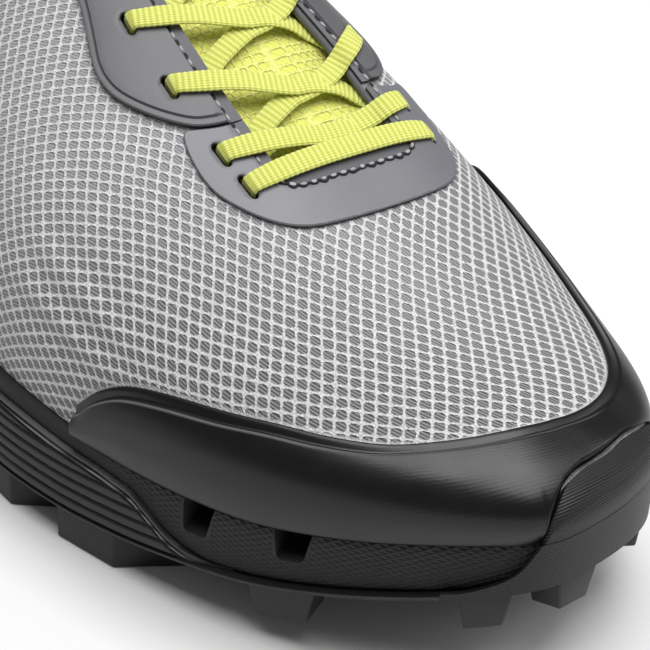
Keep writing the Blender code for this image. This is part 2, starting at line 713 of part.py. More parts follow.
# Eyestays
joint_gap = 0.35
front_loop = list(FRONT_STAY)
front_loop += [(x, s) for x, s in ((202.3, 0.2), (202.4, 0.144), (202.4, THROAT_MEDIAL))]
front_loop += [(208.0, THROAT_MEDIAL), (212.2, THROAT_MEDIAL), (214.2, 0.082), (215.0, 0.06), (215.0, -0.075)]
front_loop += [(214.2, -0.102), (212.2, -THROAT_LATERAL), (208.0, -THROAT_LATERAL), (202.0, -THROAT_LATERAL)]
front_loop += [(201.6, -0.144), (201.0, -0.17), (199.6, -0.205)]
front_eyelets = [(x, s) for x, lateral, medial in EYELETS[:2] for s in (-lateral, medial)]
eyestay_front = eyestay("eyestay_front", front_loop, front_eyelets, FRONT_STAY_HIGH)


def side_loop(sign, throat):
    joint = [(x - joint_gap - (0.4 if sign > 0 else 0.0), sign * share) for x, share in STAY_JOINT]
    joint[-1] = (joint[-1][0], sign * throat)
    outer_edge = [(x - joint_gap, sign * share) for x, share in SIDE_STAY[1:]]
    inner_edge = [(x, sign * throat) for x in (115.6, 130.0, 150.0, 170.0, 190.0)]
    return list(reversed(joint)) + outer_edge + inner_edge


eyestay_lateral = eyestay("eyestay_lateral", side_loop(-1, THROAT_LATERAL), [(row[0], -row[1]) for row in EYELETS[2:]],
                          SIDE_STAY_HIGH)
eyestay_medial = eyestay("eyestay_medial", side_loop(1, THROAT_MEDIAL), [(row[0], row[2]) for row in EYELETS[2:]],
                         SIDE_STAY_HIGH)

# Tongue
tongue_x = np.linspace(90.0, 226.0, 17)
tongue_share = np.linspace(-0.23, 0.21, 8)
round_off = 0.55 + 0.45 * np.clip((tongue_x - 90.0) / 9.0, 0, 1) ** 0.5
grid_x, grid_share = np.meshgrid(tongue_x, tongue_share, indexing="ij")
grid_share = grid_share * round_off[:, None]
tongue_depth = table(TONGUE_DEPTH)(grid_x)
tongue_face = skin(grid_x, grid_share, -tongue_depth)
tongue = strip("tongue", tongue_face, skin(grid_x, grid_share, -tongue_depth - TONGUE_THICK))


def lace_strip(name, path):
    """Flat lace along a path of x, girth and height over the form."""
    path = np.array(path, float)
    way = np.gradient(path[:, :2], axis=0)
    way = way / np.linalg.norm(way, axis=1, keepdims=True)
    side = np.column_stack([-way[:, 1], way[:, 0]]) * LACE_WIDTH / 2
    left = path[:, :2] + side
    right = path[:, :2] - side
    faces = []
    top, base = [], []
    for edge in (left, right):
        top.append(skin(edge[:, 0], edge[:, 1] / GIRTH, path[:, 2] + LACE_THICK))
        base.append(skin(edge[:, 0], edge[:, 1] / GIRTH, path[:, 2]))
    return strip(name, np.stack(top, 1), np.stack(base, 1))


def lace_path(start, end, start_height, middle_height, end_height):
    """Straight run in plan with eased heights from an eyelet to the far throat edge."""
    s = np.linspace(0, 1, 11)
    x = start[0] + (end[0] - start[0]) * s
    girth = (start[1] + (end[1] - start[1]) * s) * GIRTH
    profile = table([(0, start_height), (0.42, start_height), (0.58, middle_height), (0.76, middle_height),
                     (0.95, end_height), (1.0, end_height)])
    return np.column_stack([x, girth, profile(s)])


# Lace bar at the first row, and a crossing for each later row
bar_height = FRONT_STAY_HIGH + GAP
first = EYELETS[0]
bar_s = np.linspace(-first[1], first[2], 11)
lace_strip("lace_bar", np.column_stack([np.full(11, first[0]), bar_s * GIRTH, np.full(11, bar_height)]))
lace_parts = []
for number in range(1, len(EYELETS)):
    x, lateral_share, medial_share = EYELETS[number]
    goal = EYELETS[number - 1][0] - (3.0 if number == 1 else 2.0)
    stay = (FRONT_STAY_HIGH if number == 1 else SIDE_STAY_HIGH) + GAP
    dive = -2.95
    over = lace_strip(f"lace_cross_{number}", lace_path((x, -lateral_share), (goal, THROAT_MEDIAL - 0.012), stay, -0.15,
                                                        dive))
    under = lace_strip(f"lace_under_{number}", lace_path((x, medial_share), (goal, 0.012 - THROAT_LATERAL), stay, -0.95,
                                                         dive))
    boolean(over, under, "UNION")
    lace_parts += [over, under]

# Materials: object, colour, roughness
FINISHES = {
    "outsole": ((0.028, 0.027, 0.029), 0.62),
    "midsole": ((0.024, 0.023, 0.025), 0.7),
    "insole": ((0.05, 0.05, 0.052), 0.9),
    "upper": ((0.36, 0.36, 0.37), 0.85),
    "toe_bumper": ((0.015, 0.015, 0.017), 0.38),
    "eyestay_front": ((0.2, 0.205, 0.215), 0.5),
    "eyestay_lateral": ((0.17, 0.175, 0.185), 0.5),
    "eyestay_medial": ((0.17, 0.175, 0.185), 0.5),
    "tongue": ((0.66, 0.7, 0.13), 0.85),
    "lace": ((0.72, 0.77, 0.16), 0.8),
}
for item in bpy.data.objects:
    if item.hide_render:
        continue
    key = "lace" if item.name.startswith("lace") else item.name
    colour, roughness = FINISHES[key]
    material = bpy.data.materials.new(item.name)
    material.use_nodes = True
    shader = material.node_tree.nodes["Principled BSDF"]
    shader.inputs["Base Color"].default_value = (*colour, 1.0)
    shader.inputs["Roughness"].default_value = roughness
    item.data.materials.append(material)

# Origin at the middle of the underside
shown = [item for item in bpy.data.objects if "cutter" not in item.name]
corners = np.concatenate([np.array([v.co[:] for v in item.data.vertices]) for item in shown])
middle = (corners.min(0) + corners.max(0)) / 2
shift = Matrix.Translation((-middle[0], -middle[1], -corners[:, 2].min()))
for item in bpy.data.objects:
    item.data.transform(shift)
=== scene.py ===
"""Looks of the obstacle course racing shoe: cloth, film, rubber, lace, light and camera."""

import bmesh
import bpy
import numpy as np
from mathutils import Matrix, Vector
from mathutils.geometry import delaunay_2d_cdt


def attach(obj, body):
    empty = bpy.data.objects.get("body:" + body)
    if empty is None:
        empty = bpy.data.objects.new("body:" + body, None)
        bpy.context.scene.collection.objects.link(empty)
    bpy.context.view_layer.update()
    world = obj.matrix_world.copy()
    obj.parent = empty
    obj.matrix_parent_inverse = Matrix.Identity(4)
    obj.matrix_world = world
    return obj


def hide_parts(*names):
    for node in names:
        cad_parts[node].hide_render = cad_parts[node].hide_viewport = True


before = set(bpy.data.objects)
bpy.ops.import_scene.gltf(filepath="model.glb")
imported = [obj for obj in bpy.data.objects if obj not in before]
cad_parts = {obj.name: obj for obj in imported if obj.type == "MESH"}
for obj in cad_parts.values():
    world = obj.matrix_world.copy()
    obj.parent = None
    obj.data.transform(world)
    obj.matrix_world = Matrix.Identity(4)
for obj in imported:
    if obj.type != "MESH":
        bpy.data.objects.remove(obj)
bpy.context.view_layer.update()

# Sizes in millimetres: those of the form as in the part's source, the film a little lower
MM = 0.001
SHIFT = np.array([-146.6431, 9.9895, 0.0])
LENGTH = 292.0
GAP = 0.3
LUG = 7.5
PLATE = 2.2
INSET = 3.0
BULGE = 2.0
WALL = 2.0
COLLAR_WALL = 2.8
COLLAR_END = 98.0
TOE_POLE = 262.0
HEEL_POLE = 48.0
POLE_BLEND = 9.0
INSOLE = 4.0
LACE_THICK = 1.1
GIRTH = 115.0
THROAT_FRONT = 214.6
THROAT_TOP = 113.0
THROAT_LATERAL = 0.113
THROAT_MEDIAL = 0.092
STAY_LOW = 0.3
FRONT_STAY_HIGH = 1.05
SIDE_STAY_HIGH = 1.55
TAPE_HIGH = 0.7
TONGUE_THICK = 2.6
SLOT_LENGTH = 5.2
SLOT_WIDTH = 2.0
RIDGE_BLEND = 0.06

# Half outlines of the sole, one row every 15 degrees from heel to toe
LATERAL_Y = [-4, -24, -37, -43.5, -45.5, -48, -54, -63, -54.6, -40.9, -24.1, -8.2, 4]
MEDIAL_Y = [-4, 16, 29, 34, 32.5, 28, 27, 35.5, 43.5, 43.5, 38.4, 24.6, 4]

# Height of the tread over the floor: x, z
SPRING = [(0, 7), (12, 3), (28, 0.3), (38, 0), (84, 0), (105, 1.5), (130, 2), (158, 0), (212, 0),
          (225, 0.9), (240, 3.2), (252, 5.3), (265, 9), (276.5, 12.9), (284, 15.7), (292, 19.5)]

# Height of the sole's rim over the tread: x, z
RIM = [(0, 35), (40, 34.5), (90, 33), (140, 32.5), (190, 31.8), (220, 27.7), (240, 24.9), (250, 23.8),
       (265, 22.6), (280, 21.5), (292, 19.8)]

# Ridge of the upper over the instep: x, y, z
RIDGE = [(0, -2, 130.8), (40, -2, 128.3), (80, -2, 121.8), (115, -1.6, 109.3), (130, -0.9, 104.8),
         (145, -0.3, 100.6), (160, 0.2, 96.2), (175, 1.1, 90.8), (190, 2, 84.6), (205, 2.8, 78.1),
         (220, 3.6, 71.6), (240, 4.9, 63.6), (262, 6.3, 56), (280, 6.3, 51.3)]

# Fullness of the upper's sections: x, lateral power, medial power
FULLNESS = [(0, 0.45, 0.45), (40, 0.6, 0.6), (90, 0.8, 0.75), (150, 0.85, 0.65), (200, 0.85, 0.51),
            (292, 0.85, 0.51)]

# Top line of the collar: x, z
COLLAR = [(0, 103.8), (15, 102.3), (35, 94.8), (60, 86.8), (80, 86.3), (95, 91.8), (104, 98.8),
          (110, 105.3), (113, 108.8)]

# Top edge of the toe bumper: outline angle in degrees, height on the section
BUMPER_TOP = [(118.4, 0.1), (120.3, 0.19), (122.8, 0.263), (125.9, 0.311), (131.7, 0.375),
              (136.8, 0.431), (141.0, 0.463), (146.6, 0.509), (153.75, 0.594), (158.6, 0.646),
              (166.6, 0.715), (174, 0.753), (181.5, 0.772), (187.5, 0.764), (191.5, 0.742),
              (197, 0.702), (203.5, 0.65), (213.4, 0.58), (222, 0.54), (230, 0.53), (236, 0.54),
              (241, 0.50), (245.5, 0.36), (248.5, 0.12)]

# Swelling of the bumper's body, thinned on the medial side: outline angle in degrees, share
BUMPER_THICKNESS = [(118, 1), (189, 1), (203, 0.16), (249, 0.16)]

# Toe wrap of the outsole: outline angle in degrees, top as a share of the sole's side
TOE_WRAP = [(158, 0.15), (161, 0.21), (165.5, 0.315), (169.7, 0.495), (172.5, 0.775), (174.4, 1.03),
            (175.8, 1.42), (177.4, 1.58), (179.3, 1.71), (181, 1.8), (186, 1.9), (194, 1.9),
            (200, 1.75), (205, 1.45), (208.5, 1.05), (211, 0.8), (214, 0.5), (218, 0.22)]

# Ribbed side of the outsole: x, top as a share of the sole's side
SIDE_RUBBER = [(150, 0.18), (165, 0.5), (180, 0.8), (205, 0.87), (219, 0.86), (226, 0.81), (229, 0.77),
               (233, 0.6), (238, 0.36), (244.8, 0.19), (250, 0.13)]
WRAP_RIM = 1.01
WRAP_STEP = 0.5
RIB_HEIGHT = 0.7

# Drain windows in the lateral midsole: x at top, x at top, x at bottom, x at bottom
WINDOWS = [(240.0, 246.9, 240.3, 244.8), (256.7, 263.8, 257.8, 262.1)]
WINDOW_SILL = 0.54
WINDOW_DEPTH = 8.0

# Top of the tongue under the form: x, depth
TONGUE_DEPTH = [(90, 3.6), (102, 5.2), (118, 5.2), (136, 3.5), (226, 3.4)]

# Eyelet rows: x, lateral and medial distance from the ridge as a share of the section
EYELETS = [(213.8, 0.188, 0.19), (206.2, 0.191, 0.182), (190.3, 0.198, 0.196), (174.8, 0.202, 0.198),
           (158.8, 0.2, 0.196), (142.8, 0.196, 0.192), (126.8, 0.19, 0.188)]

# Front eyestay: outer edge as x, signed share from the ridge
FRONT_STAY = [(198.6, -0.226), (202.0, -0.243), (208.3, -0.255), (212.7, -0.251), (217.8, -0.224),
              (221.0, -0.2), (223.6, -0.172), (225.7, -0.132), (226.8, -0.076), (227.3, 0.0),
              (227.0, 0.05), (226.2, 0.115), (224.6, 0.165), (222.4, 0.205), (219.2, 0.238),
              (213.0, 0.262), (206.0, 0.268), (200.3, 0.262)]

# Joint between front and side eyestays, from outer edge to throat: x, share
STAY_JOINT = [(198.6, 0.226), (199.6, 0.205), (201.0, 0.17), (201.6, 0.144), (202.0, 0.113)]

# Outer edge of the side eyestays: x, share
SIDE_STAY = [(198.6, 0.226), (194.7, 0.253), (189.2, 0.289), (184.9, 0.307), (179.4, 0.311),
             (172.9, 0.29), (165.0, 0.268), (154.0, 0.258), (142.0, 0.256), (130.0, 0.256),
             (121.0, 0.25), (117.0, 0.225), (115.6, 0.19), (115.2, 0.15)]

# Edge lugs: outline angle in degrees, length, depth
EDGE_LUGS = [(12, 13, 11), (30, 14, 12), (47, 14, 12), (63, 14, 12), (140.6, 13.5, 11), (164.6, 10, 9),
             (184, 10, 9), (204, 10, 9), (221, 13, 11), (297, 14, 11), (313, 14, 12), (330, 14, 12),
             (348, 13, 11)]

# Leaning lugs at the ball, flat underneath: outline angle in degrees, length, depth, shift of the inner side
LEANING_LUGS = [(97, 13, 12, 9), (108.5, 13, 12, 11), (119.55, 14.7, 12, 14), (236, 14, 12, -11),
                (249, 13, 12, -10), (262, 12, 11, -8)]

# Inner lugs: x, y, length, width
INNER_LUGS = [(38, -5, 13, 15), (64, -6, 13, 15), (88, -8, 12, 14), (163, -16, 12, 14),
              (184, -28, 12, 13), (186, 3, 12, 13), (207, -18, 12, 14), (209, 12, 12, 13),
              (230, -6, 12, 14), (252, 2, 12, 14), (269, 5, 9, 12)]
LUG_CHAMFER = 1.5
LUG_FACE_INSET = 0.5
LUG_FACE_DRAFT = 0.3

# Flex creases: x and share at one end, x and share at the other, half width, depth (a ridge is negative)
CREASES = [
    (196, -0.56, 222, -0.60, 2.8, 0.45),
    (197, -0.61, 224, -0.65, 2.4, -0.35),
    (196, -0.66, 226, -0.70, 2.8, 0.5),
    (196, -0.71, 222, -0.75, 2.4, -0.35),
    (195, -0.76, 219, -0.80, 2.8, 0.45),
]


def table(rows, column=1):
    """Monotone cubic through the rows of a table, held at its ends."""
    xs = np.array([row[0] for row in rows], float)
    vs = np.array([row[column] for row in rows], float)
    width = np.diff(xs)
    rise = np.diff(vs) / width
    slope = np.zeros_like(vs)
    same = rise[:-1] * rise[1:] > 0
    before = 2 * width[1:] + width[:-1]
    after = width[1:] + 2 * width[:-1]
    safe_low = np.where(same, rise[:-1], 1)
    safe_high = np.where(same, rise[1:], 1)
    slope[1:-1] = np.where(same, (before + after) / (before / safe_low + after / safe_high), 0)
    slope[0] = rise[0]
    slope[-1] = rise[-1]

    def curve(x):
        x = np.asarray(x, float)
        i = np.clip(np.searchsorted(xs, x) - 1, 0, len(width) - 1)
        s = np.clip((x - xs[i]) / width[i], 0, 1)
        low = (1 + 2 * s) * (1 - s) ** 2 * vs[i] + s * (1 - s) ** 2 * width[i] * slope[i]
        high = s * s * (3 - 2 * s) * vs[i + 1] + s * s * (s - 1) * width[i] * slope[i + 1]
        return low + high

    return curve


def periodic(values):
    """Closed cubic spline through evenly spaced values."""
    values = np.array(values, float)
    count = len(values)
    one = np.eye(count)
    matrix = 4 * one + np.roll(one, 1, 0) + np.roll(one, -1, 0)
    bend = np.linalg.solve(matrix, 6 * (np.roll(values, -1) - 2 * values + np.roll(values, 1)))

    def curve(angle):
        s = np.mod(np.asarray(angle, float), 2 * np.pi) / (2 * np.pi) * count
        i = np.floor(s).astype(int) % count
        j = (i + 1) % count
        b = s - np.floor(s)
        a = 1 - b
        return a * values[i] + b * values[j] + ((a**3 - a) * bend[i] + (b**3 - b) * bend[j]) / 6

    return curve


outline_y = periodic(LATERAL_Y + MEDIAL_Y[-2:0:-1])
spring = table(SPRING)
rim = table(RIM)
ridge_y = table(RIDGE, 1)
ridge_z = table(RIDGE, 2)
lateral_power = table(FULLNESS, 1)
medial_power = table(FULLNESS, 2)
collar_z = table(COLLAR)


def smooth(x, low, high):
    """Soft step from 0 at low to 1 at high."""
    s = np.clip((np.asarray(x, float) - low) / (high - low), 0, 1)
    return s * s * (3 - 2 * s)


def deck(x):
    """Height of the sole's top over the floor."""
    x = np.clip(x, 0, LENGTH)
    return spring(x) + rim(x)


def tread(x):
    """Height of the outsole plate's underside over the floor."""
    return spring(np.clip(x, 0, LENGTH)) + LUG


def x_at(angle):
    """Place along the shoe at an outline angle: 0 is the heel, 180 degrees the toe."""
    return LENGTH / 2 * (1 - np.cos(angle))


def angle_at(x):
    return np.arccos(np.clip(1 - 2 * np.asarray(x, float) / LENGTH, -1, 1))


def unit(vectors):
    """Vectors made one long."""
    return vectors / np.linalg.norm(vectors, axis=-1, keepdims=True)


def run_along(points):
    """Way along each line of points, from its start to each point."""
    steps = np.linalg.norm(np.diff(points, axis=-2), axis=-1)
    start = np.zeros((*steps.shape[:-1], 1))
    return np.concatenate([start, np.cumsum(steps, axis=-1)], -1)


def outline(angle, inset):
    """Plan point of the sole's edge, moved inwards."""
    angle = np.asarray(angle, float)
    step = 1e-4

    def point(a):
        return np.stack([x_at(a), outline_y(a)], -1)

    way = unit(point(angle + step) - point(angle - step))
    inwards = np.stack([-way[..., 1], way[..., 0]], -1)
    return point(angle) + inwards * np.broadcast_to(inset, angle.shape)[..., None]


def form(angle, t):
    """Outside of the upper, from the sole's edge (t 0) up to the ridge (t 1)."""
    angle = np.asarray(angle, float)
    t = np.asarray(t, float)
    x_edge = x_at(angle)
    foot = outline(angle, INSET)
    z_foot = deck(foot[..., 0])
    x_ridge = x_edge - POLE_BLEND * np.log1p(np.exp((x_edge - TOE_POLE) / POLE_BLEND))
    x_ridge = x_ridge + POLE_BLEND * np.log1p(np.exp((HEEL_POLE - x_ridge) / POLE_BLEND))
    y_ridge = ridge_y(x_ridge)
    z_ridge = ridge_z(x_ridge)
    slope = ridge_z(x_ridge + 0.5) - ridge_z(x_ridge - 0.5)
    medial = 0.5 - 0.5 * np.tanh(np.sin(angle) / 0.3)
    power = lateral_power(x_edge) * (1 - medial) + medial_power(x_edge) * medial
    reach_x = foot[..., 0] - x_ridge
    reach_y = foot[..., 1] - y_ridge
    swell = BULGE / np.hypot(reach_x, reach_y) * np.sin(np.pi * np.clip(t / 0.7, 0, 1)) ** 2
    out = np.maximum(np.cos(np.pi / 2 * t), 0) ** power + swell
    rise = np.sin(np.pi / 2 * t)
    x = x_ridge + reach_x * out
    y = y_ridge + reach_y * out
    z = z_foot + (z_ridge - z_foot) * rise + slope * (x - x_ridge) * rise**2
    return np.stack([x, y, z], -1)


def normal(angle, t):
    """Outward direction of the form."""
    step = 0.004
    t = np.clip(t, step, 0.985)
    along = form(angle + step, t) - form(angle - step, t)
    up = form(angle, t + step) - form(angle, t - step)
    return unit(np.cross(along, up))


def crown(angle, t, share):
    """Direction near the ridge, blended from both sides. The angle is the lateral one."""
    blend = np.clip(0.5 + share / RIDGE_BLEND, 0, 1)[..., None]
    return normal(angle, t) * (1 - blend) + normal(2 * np.pi - angle, t) * blend


def raised(angle, t, offset):
    offset = np.broadcast_to(offset, np.shape(angle))
    return form(angle, t) + normal(angle, t) * offset[..., None]


def skin(x, share, offset):
    """Point over the form at outline x and signed share from the ridge, lateral negative."""
    x = np.asarray(x, float)
    share = np.asarray(share, float)
    angle = angle_at(x)
    t = 1 - np.abs(share)
    point = form(np.where(share > 0, 2 * np.pi - angle, angle), t)
    out = unit(crown(angle, t, share))
    return point + out * np.broadcast_to(offset, x.shape)[..., None]


def side_point(angle, share, inset):
    """Point on the sole's side at a share of its height."""
    plan = outline(angle, inset)
    low = tread(plan[..., 0])
    z = low + share * (deck(plan[..., 0]) - low)
    return np.concatenate([plan, z[..., None]], -1)


def over_form(places):
    """Points over the form at places in x, girth and height."""
    return skin(places[:, 0], places[:, 1] / GIRTH, places[:, 2])


# Cloth: power that rounds its cells, ribs of twill in a cell, lean of the ribs, lines across the lace
CELL_POWER = 3.5
TWILL_RIBS = 3.2
TWILL_LEAN = -0.48
LACE_LINES = 1.9

# Relief of the rubbers and the foam: pitch of streaks, of fine lines and of the knurl along and up the side
STREAK_PITCH = 0.62
FINE_PITCH = 0.55
KNURL_PITCH = (2.4, 1.35)
KNURL_START = (244.0, 262.0)
KNURL_END = (380.0, 362.0)

# Materials with one colour: word, name, colour, roughness, sheen, scale and height of the grain
PLAIN_FINISHES = [
    ("lining", "lining", (0.035, 0.035, 0.038), 0.9, 0.3, 2600.0, 0.0002),
    ("strip", "strip", (0.13, 0.13, 0.145), 0.7, 0.0, 2400.0, 0.00012),
    ("front_strip", "front_strip", (0.11, 0.11, 0.121), 0.7, 0.0, 2400.0, 0.00012),
    ("edge", "film_edge", (0.03, 0.03, 0.034), 0.7, 0.0, 1800.0, 0.0001),
    ("bed", "insole_cloth", (0.05, 0.05, 0.053), 0.92, 0.2, 1800.0, 0.0002),
    ("thread", "thread", (0.37, 0.37, 0.385), 0.7, 0.0, 4000.0, 0.00005),
    # pin: near-black painted shade, for the needle holes, the drain windows' walls and the shadow under the
    # overlock loops
    ("pin", "needle_hole", (0.012, 0.012, 0.013), 0.8, 0.0, 3000.0, 0.00005),
]

# Film panels: word, colour, roughness
FILMS = [("film_light", (0.157, 0.157, 0.174), 0.4), ("film", (0.108, 0.107, 0.115), 0.45)]

BUMPER_BLACK = (0.004, 0.0038, 0.0043)
FOAM_BLACK = (0.008, 0.0076, 0.0085)
TREAD_BLACK = (0.0075, 0.0072, 0.0078)


class Finish:
    """Procedural material with a few words for its nodes."""

    def __init__(self, name, colour, roughness, **inputs):
        self.material = bpy.data.materials.new(name)
        self.material.use_nodes = True
        self.nodes = self.material.node_tree.nodes
        self.links = self.material.node_tree.links
        self.shader = self.nodes["Principled BSDF"]
        self.shader.inputs["Base Color"].default_value = (*colour, 1.0)
        self.shader.inputs["Roughness"].default_value = roughness
        for key, value in inputs.items():
            self.shader.inputs[key.replace("_", " ")].default_value = value
        self.places = self.nodes.new("ShaderNodeTexCoord").outputs["Object"]

    def put(self, socket, value):
        if isinstance(value, bpy.types.NodeSocket):
            self.links.new(value, socket)
        else:
            socket.default_value = value

    def math(self, operation, *values):
        node = self.nodes.new("ShaderNodeMath")
        node.operation = operation
        for socket, value in zip(node.inputs, values):
            self.put(socket, value)
        return node.outputs[0]

    def step(self, value, low, high, start=0.0, end=1.0):
        """Soft step of a value between two limits."""
        node = self.nodes.new("ShaderNodeMapRange")
        node.interpolation_type = "SMOOTHSTEP"
        for socket, given in zip(node.inputs, (value, low, high, start, end)):
            self.put(socket, given)
        return node.outputs[0]

    def mark(self, name):
        node = self.nodes.new("ShaderNodeAttribute")
        node.attribute_name = name
        return node.outputs["Vector"]

    def split(self, vector):
        node = self.nodes.new("ShaderNodeSeparateXYZ")
        self.put(node.inputs[0], vector)
        return node.outputs

    def noise(self, scale, detail=2.0):
        node = self.nodes.new("ShaderNodeTexNoise")
        node.inputs["Scale"].default_value = scale
        node.inputs["Detail"].default_value = detail
        self.put(node.inputs["Vector"], self.places)
        return node.outputs[0]

    def mix(self, share, first, second):
        node = self.nodes.new("ShaderNodeMix")
        node.data_type = "RGBA"
        colours = [socket for socket in node.inputs if socket.type == "RGBA"]
        self.put(node.inputs[0], share)
        for socket, value in zip(colours, (first, second)):
            self.put(socket, value if isinstance(value, bpy.types.NodeSocket) else (*value, 1.0))
        return [socket for socket in node.outputs if socket.type == "RGBA"][0]

    def colour(self, value):
        self.put(self.shader.inputs["Base Color"], value)

    def rough(self, value):
        self.put(self.shader.inputs["Roughness"], value)

    def wave(self, value, pitch):
        """Sine of a value with one pitch."""
        return self.math("SINE", self.math("MULTIPLY", value, 2 * np.pi / pitch))

    def bump(self, height, distance):
        node = self.nodes.new("ShaderNodeBump")
        node.inputs["Strength"].default_value = 1.0
        node.inputs["Distance"].default_value = distance
        self.put(node.inputs["Height"], height)
        if self.shader.inputs["Normal"].links:
            self.put(node.inputs["Normal"], self.shader.inputs["Normal"].links[0].from_socket)
        self.put(self.shader.inputs["Normal"], node.outputs[0])


def cloth_finish(name, line_colour, cell_colour, dark_colour, low, high):
    """Ripstop cloth: soft pale grid lines round rounded cells of fine twill, frayed at the bumper's edge."""
    finish = Finish(name, cell_colour, 0.75, Sheen_Weight=0.12, Sheen_Roughness=0.5)
    a, b, clear = finish.split(finish.mark("cloth"))
    grain = finish.noise(2700.0)
    sides = []
    for value in (a, b):
        away = finish.math("ABSOLUTE", finish.math("SUBTRACT", finish.math("FRACT", value), 0.5))
        sides.append(finish.math("POWER", away, CELL_POWER))
    away = finish.math("POWER", finish.math("ADD", *sides), 1 / CELL_POWER)
    grid = finish.step(finish.math("MULTIPLY_ADD", grain, 0.14, away), low, high)
    fray = finish.step(finish.math("MULTIPLY_ADD", grain, 1.6, clear), 1.7, 1.1, 0.0, 0.8)
    grid = finish.math("MAXIMUM", grid, fray)
    ribs = finish.math("MULTIPLY_ADD", a, TWILL_LEAN, b)
    twill = finish.wave(ribs, 1 / TWILL_RIBS)
    weave = finish.math("MULTIPLY_ADD", twill, 0.5, 0.5)
    cells = finish.mix(weave, dark_colour, cell_colour)
    cells = finish.mix(finish.step(clear, 4.0, 55.0, 0.0, 0.26), cells, line_colour)
    speck = finish.step(grain, 0.3, 0.7)
    lines = finish.mix(speck, tuple(0.7 * c for c in line_colour), tuple(1.08 * c for c in line_colour))
    finish.colour(finish.mix(grid, cells, lines))
    finish.bump(weave, 0.00004)
    finish.bump(grid, 0.0003)
    return finish.material


def make_materials():
    made = {}
    made["mesh"] = cloth_finish("grid_mesh", (0.67, 0.66, 0.67), (0.29, 0.283, 0.295), (0.045, 0.043, 0.047),
                                0.38, 0.52)
    made["tongue"] = cloth_finish("tongue_cloth", (0.84, 0.86, 0.24), (0.72, 0.74, 0.13), (0.56, 0.575, 0.07),
                                  0.36, 0.56)

    for word, name, colour, roughness, sheen, scale, height in PLAIN_FINISHES:
        plain = Finish(name, colour, roughness, Sheen_Weight=sheen)
        plain.bump(plain.noise(scale), height)
        made[word] = plain.material

    for name, colour, roughness in FILMS:
        film = Finish(name, colour, roughness, Specular_IOR_Level=0.5)
        tone = film.step(film.noise(60.0, 3.0), 0.3, 0.7)
        film.colour(film.mix(tone, tuple(c * 0.94 for c in colour), tuple(c * 1.06 for c in colour)))
        film.bump(film.noise(3200.0), 0.00003)
        made[name] = film.material

    rubber = Finish("bumper_rubber", BUMPER_BLACK, 0.32, Specular_IOR_Level=0.4)
    u, v, painted_highlight = rubber.split(rubber.mark("rand"))
    toe = rubber.math("MULTIPLY", rubber.wave(v, STREAK_PITCH), rubber.step(u, 55.0, 85.0))
    rubber.bump(toe, 0.000003)
    rubber.bump(rubber.noise(2500.0), 0.000012)
    # The lip's crest is painted light grey as a highlight
    rubber.colour(rubber.mix(painted_highlight, BUMPER_BLACK, (0.17, 0.17, 0.18)))
    rubber.rough(rubber.step(rubber.noise(150.0, 3.0), 0.2, 0.8, 0.31, 0.37))
    made["rubber"] = rubber.material

    foam = Finish("midsole_foam", FOAM_BLACK, 0.6, Specular_IOR_Level=0.4)
    u, v, _ = foam.split(foam.mark("side"))
    slants = []
    for way in (1, -1):
        lean = foam.math("MULTIPLY", v, way * 2 * np.pi / KNURL_PITCH[1])
        slants.append(foam.math("SINE", foam.math("MULTIPLY_ADD", u, 2 * np.pi / KNURL_PITCH[0], lean)))
    shown = foam.math("MULTIPLY", foam.step(u, *KNURL_START), foam.step(u, *KNURL_END))
    dots = foam.step(foam.noise(1500.0), 0.68, 0.76, 0.0, 0.6)
    foam.colour(foam.mix(dots, FOAM_BLACK, (0.045, 0.045, 0.045)))
    foam.bump(foam.math("MULTIPLY", foam.math("MAXIMUM", *slants), shown), 0.00016)
    foam.bump(foam.noise(2600.0), 0.00008)
    made["foam"] = foam.material

    sole = Finish("outsole_rubber", TREAD_BLACK, 0.5, Specular_IOR_Level=0.4)
    _, v, lined = sole.split(sole.mark("side"))
    sole.bump(sole.math("MULTIPLY", sole.wave(v, FINE_PITCH), lined), 0.00004)
    sole.bump(sole.noise(2200.0), 0.00003)
    dust = sole.step(sole.noise(1300.0), 0.7, 0.78, 0.0, 0.5)
    shade = sole.mix(dust, TREAD_BLACK, (0.035, 0.034, 0.034))
    # Painted highlights on the side rubber's border ridges, mixed in as light grey
    highlight_amount = sole.split(sole.mark("painted_highlight"))[0]
    sole.colour(sole.mix(highlight_amount, shade, (0.36, 0.36, 0.37)))
    made["tread"] = sole.material

    lace = Finish("lace_cord", (0.74, 0.78, 0.13), 0.66, Sheen_Weight=0.25, Sheen_Roughness=0.45)
    _, across, rib = lace.split(lace.mark("lace"))
    # Painted shade in the troughs between the ribs and painted highlight on their crests
    tone = lace.step(rib, -1.0, 1.0)
    lace.colour(lace.mix(tone, (0.55, 0.58, 0.085), (0.75, 0.78, 0.215)))
    lace.bump(lace.wave(across, 1 / LACE_LINES), 0.00005)
    lace.bump(lace.noise(3000.0), 0.00006)
    made["lace"] = lace.material
    return made


finishes = make_materials()


# Mesh making

def face_outwards(mesh):
    build = bmesh.new()
    build.from_mesh(mesh)
    bmesh.ops.recalc_face_normals(build, faces=build.faces[:])
    build.to_mesh(mesh)
    build.free()


def mesh_object(name, points, faces):
    """Object in the scene from points in metres."""
    mesh = bpy.data.meshes.new(name)
    mesh.from_pydata(points, [], faces)
    item = bpy.data.objects.new(name, mesh)
    bpy.context.scene.collection.objects.link(item)
    return item


def placed(points):
    """Millimetre points of the shoe's own frame as metres in the part's frame."""
    return ((np.asarray(points, float) + SHIFT) * MM).tolist()


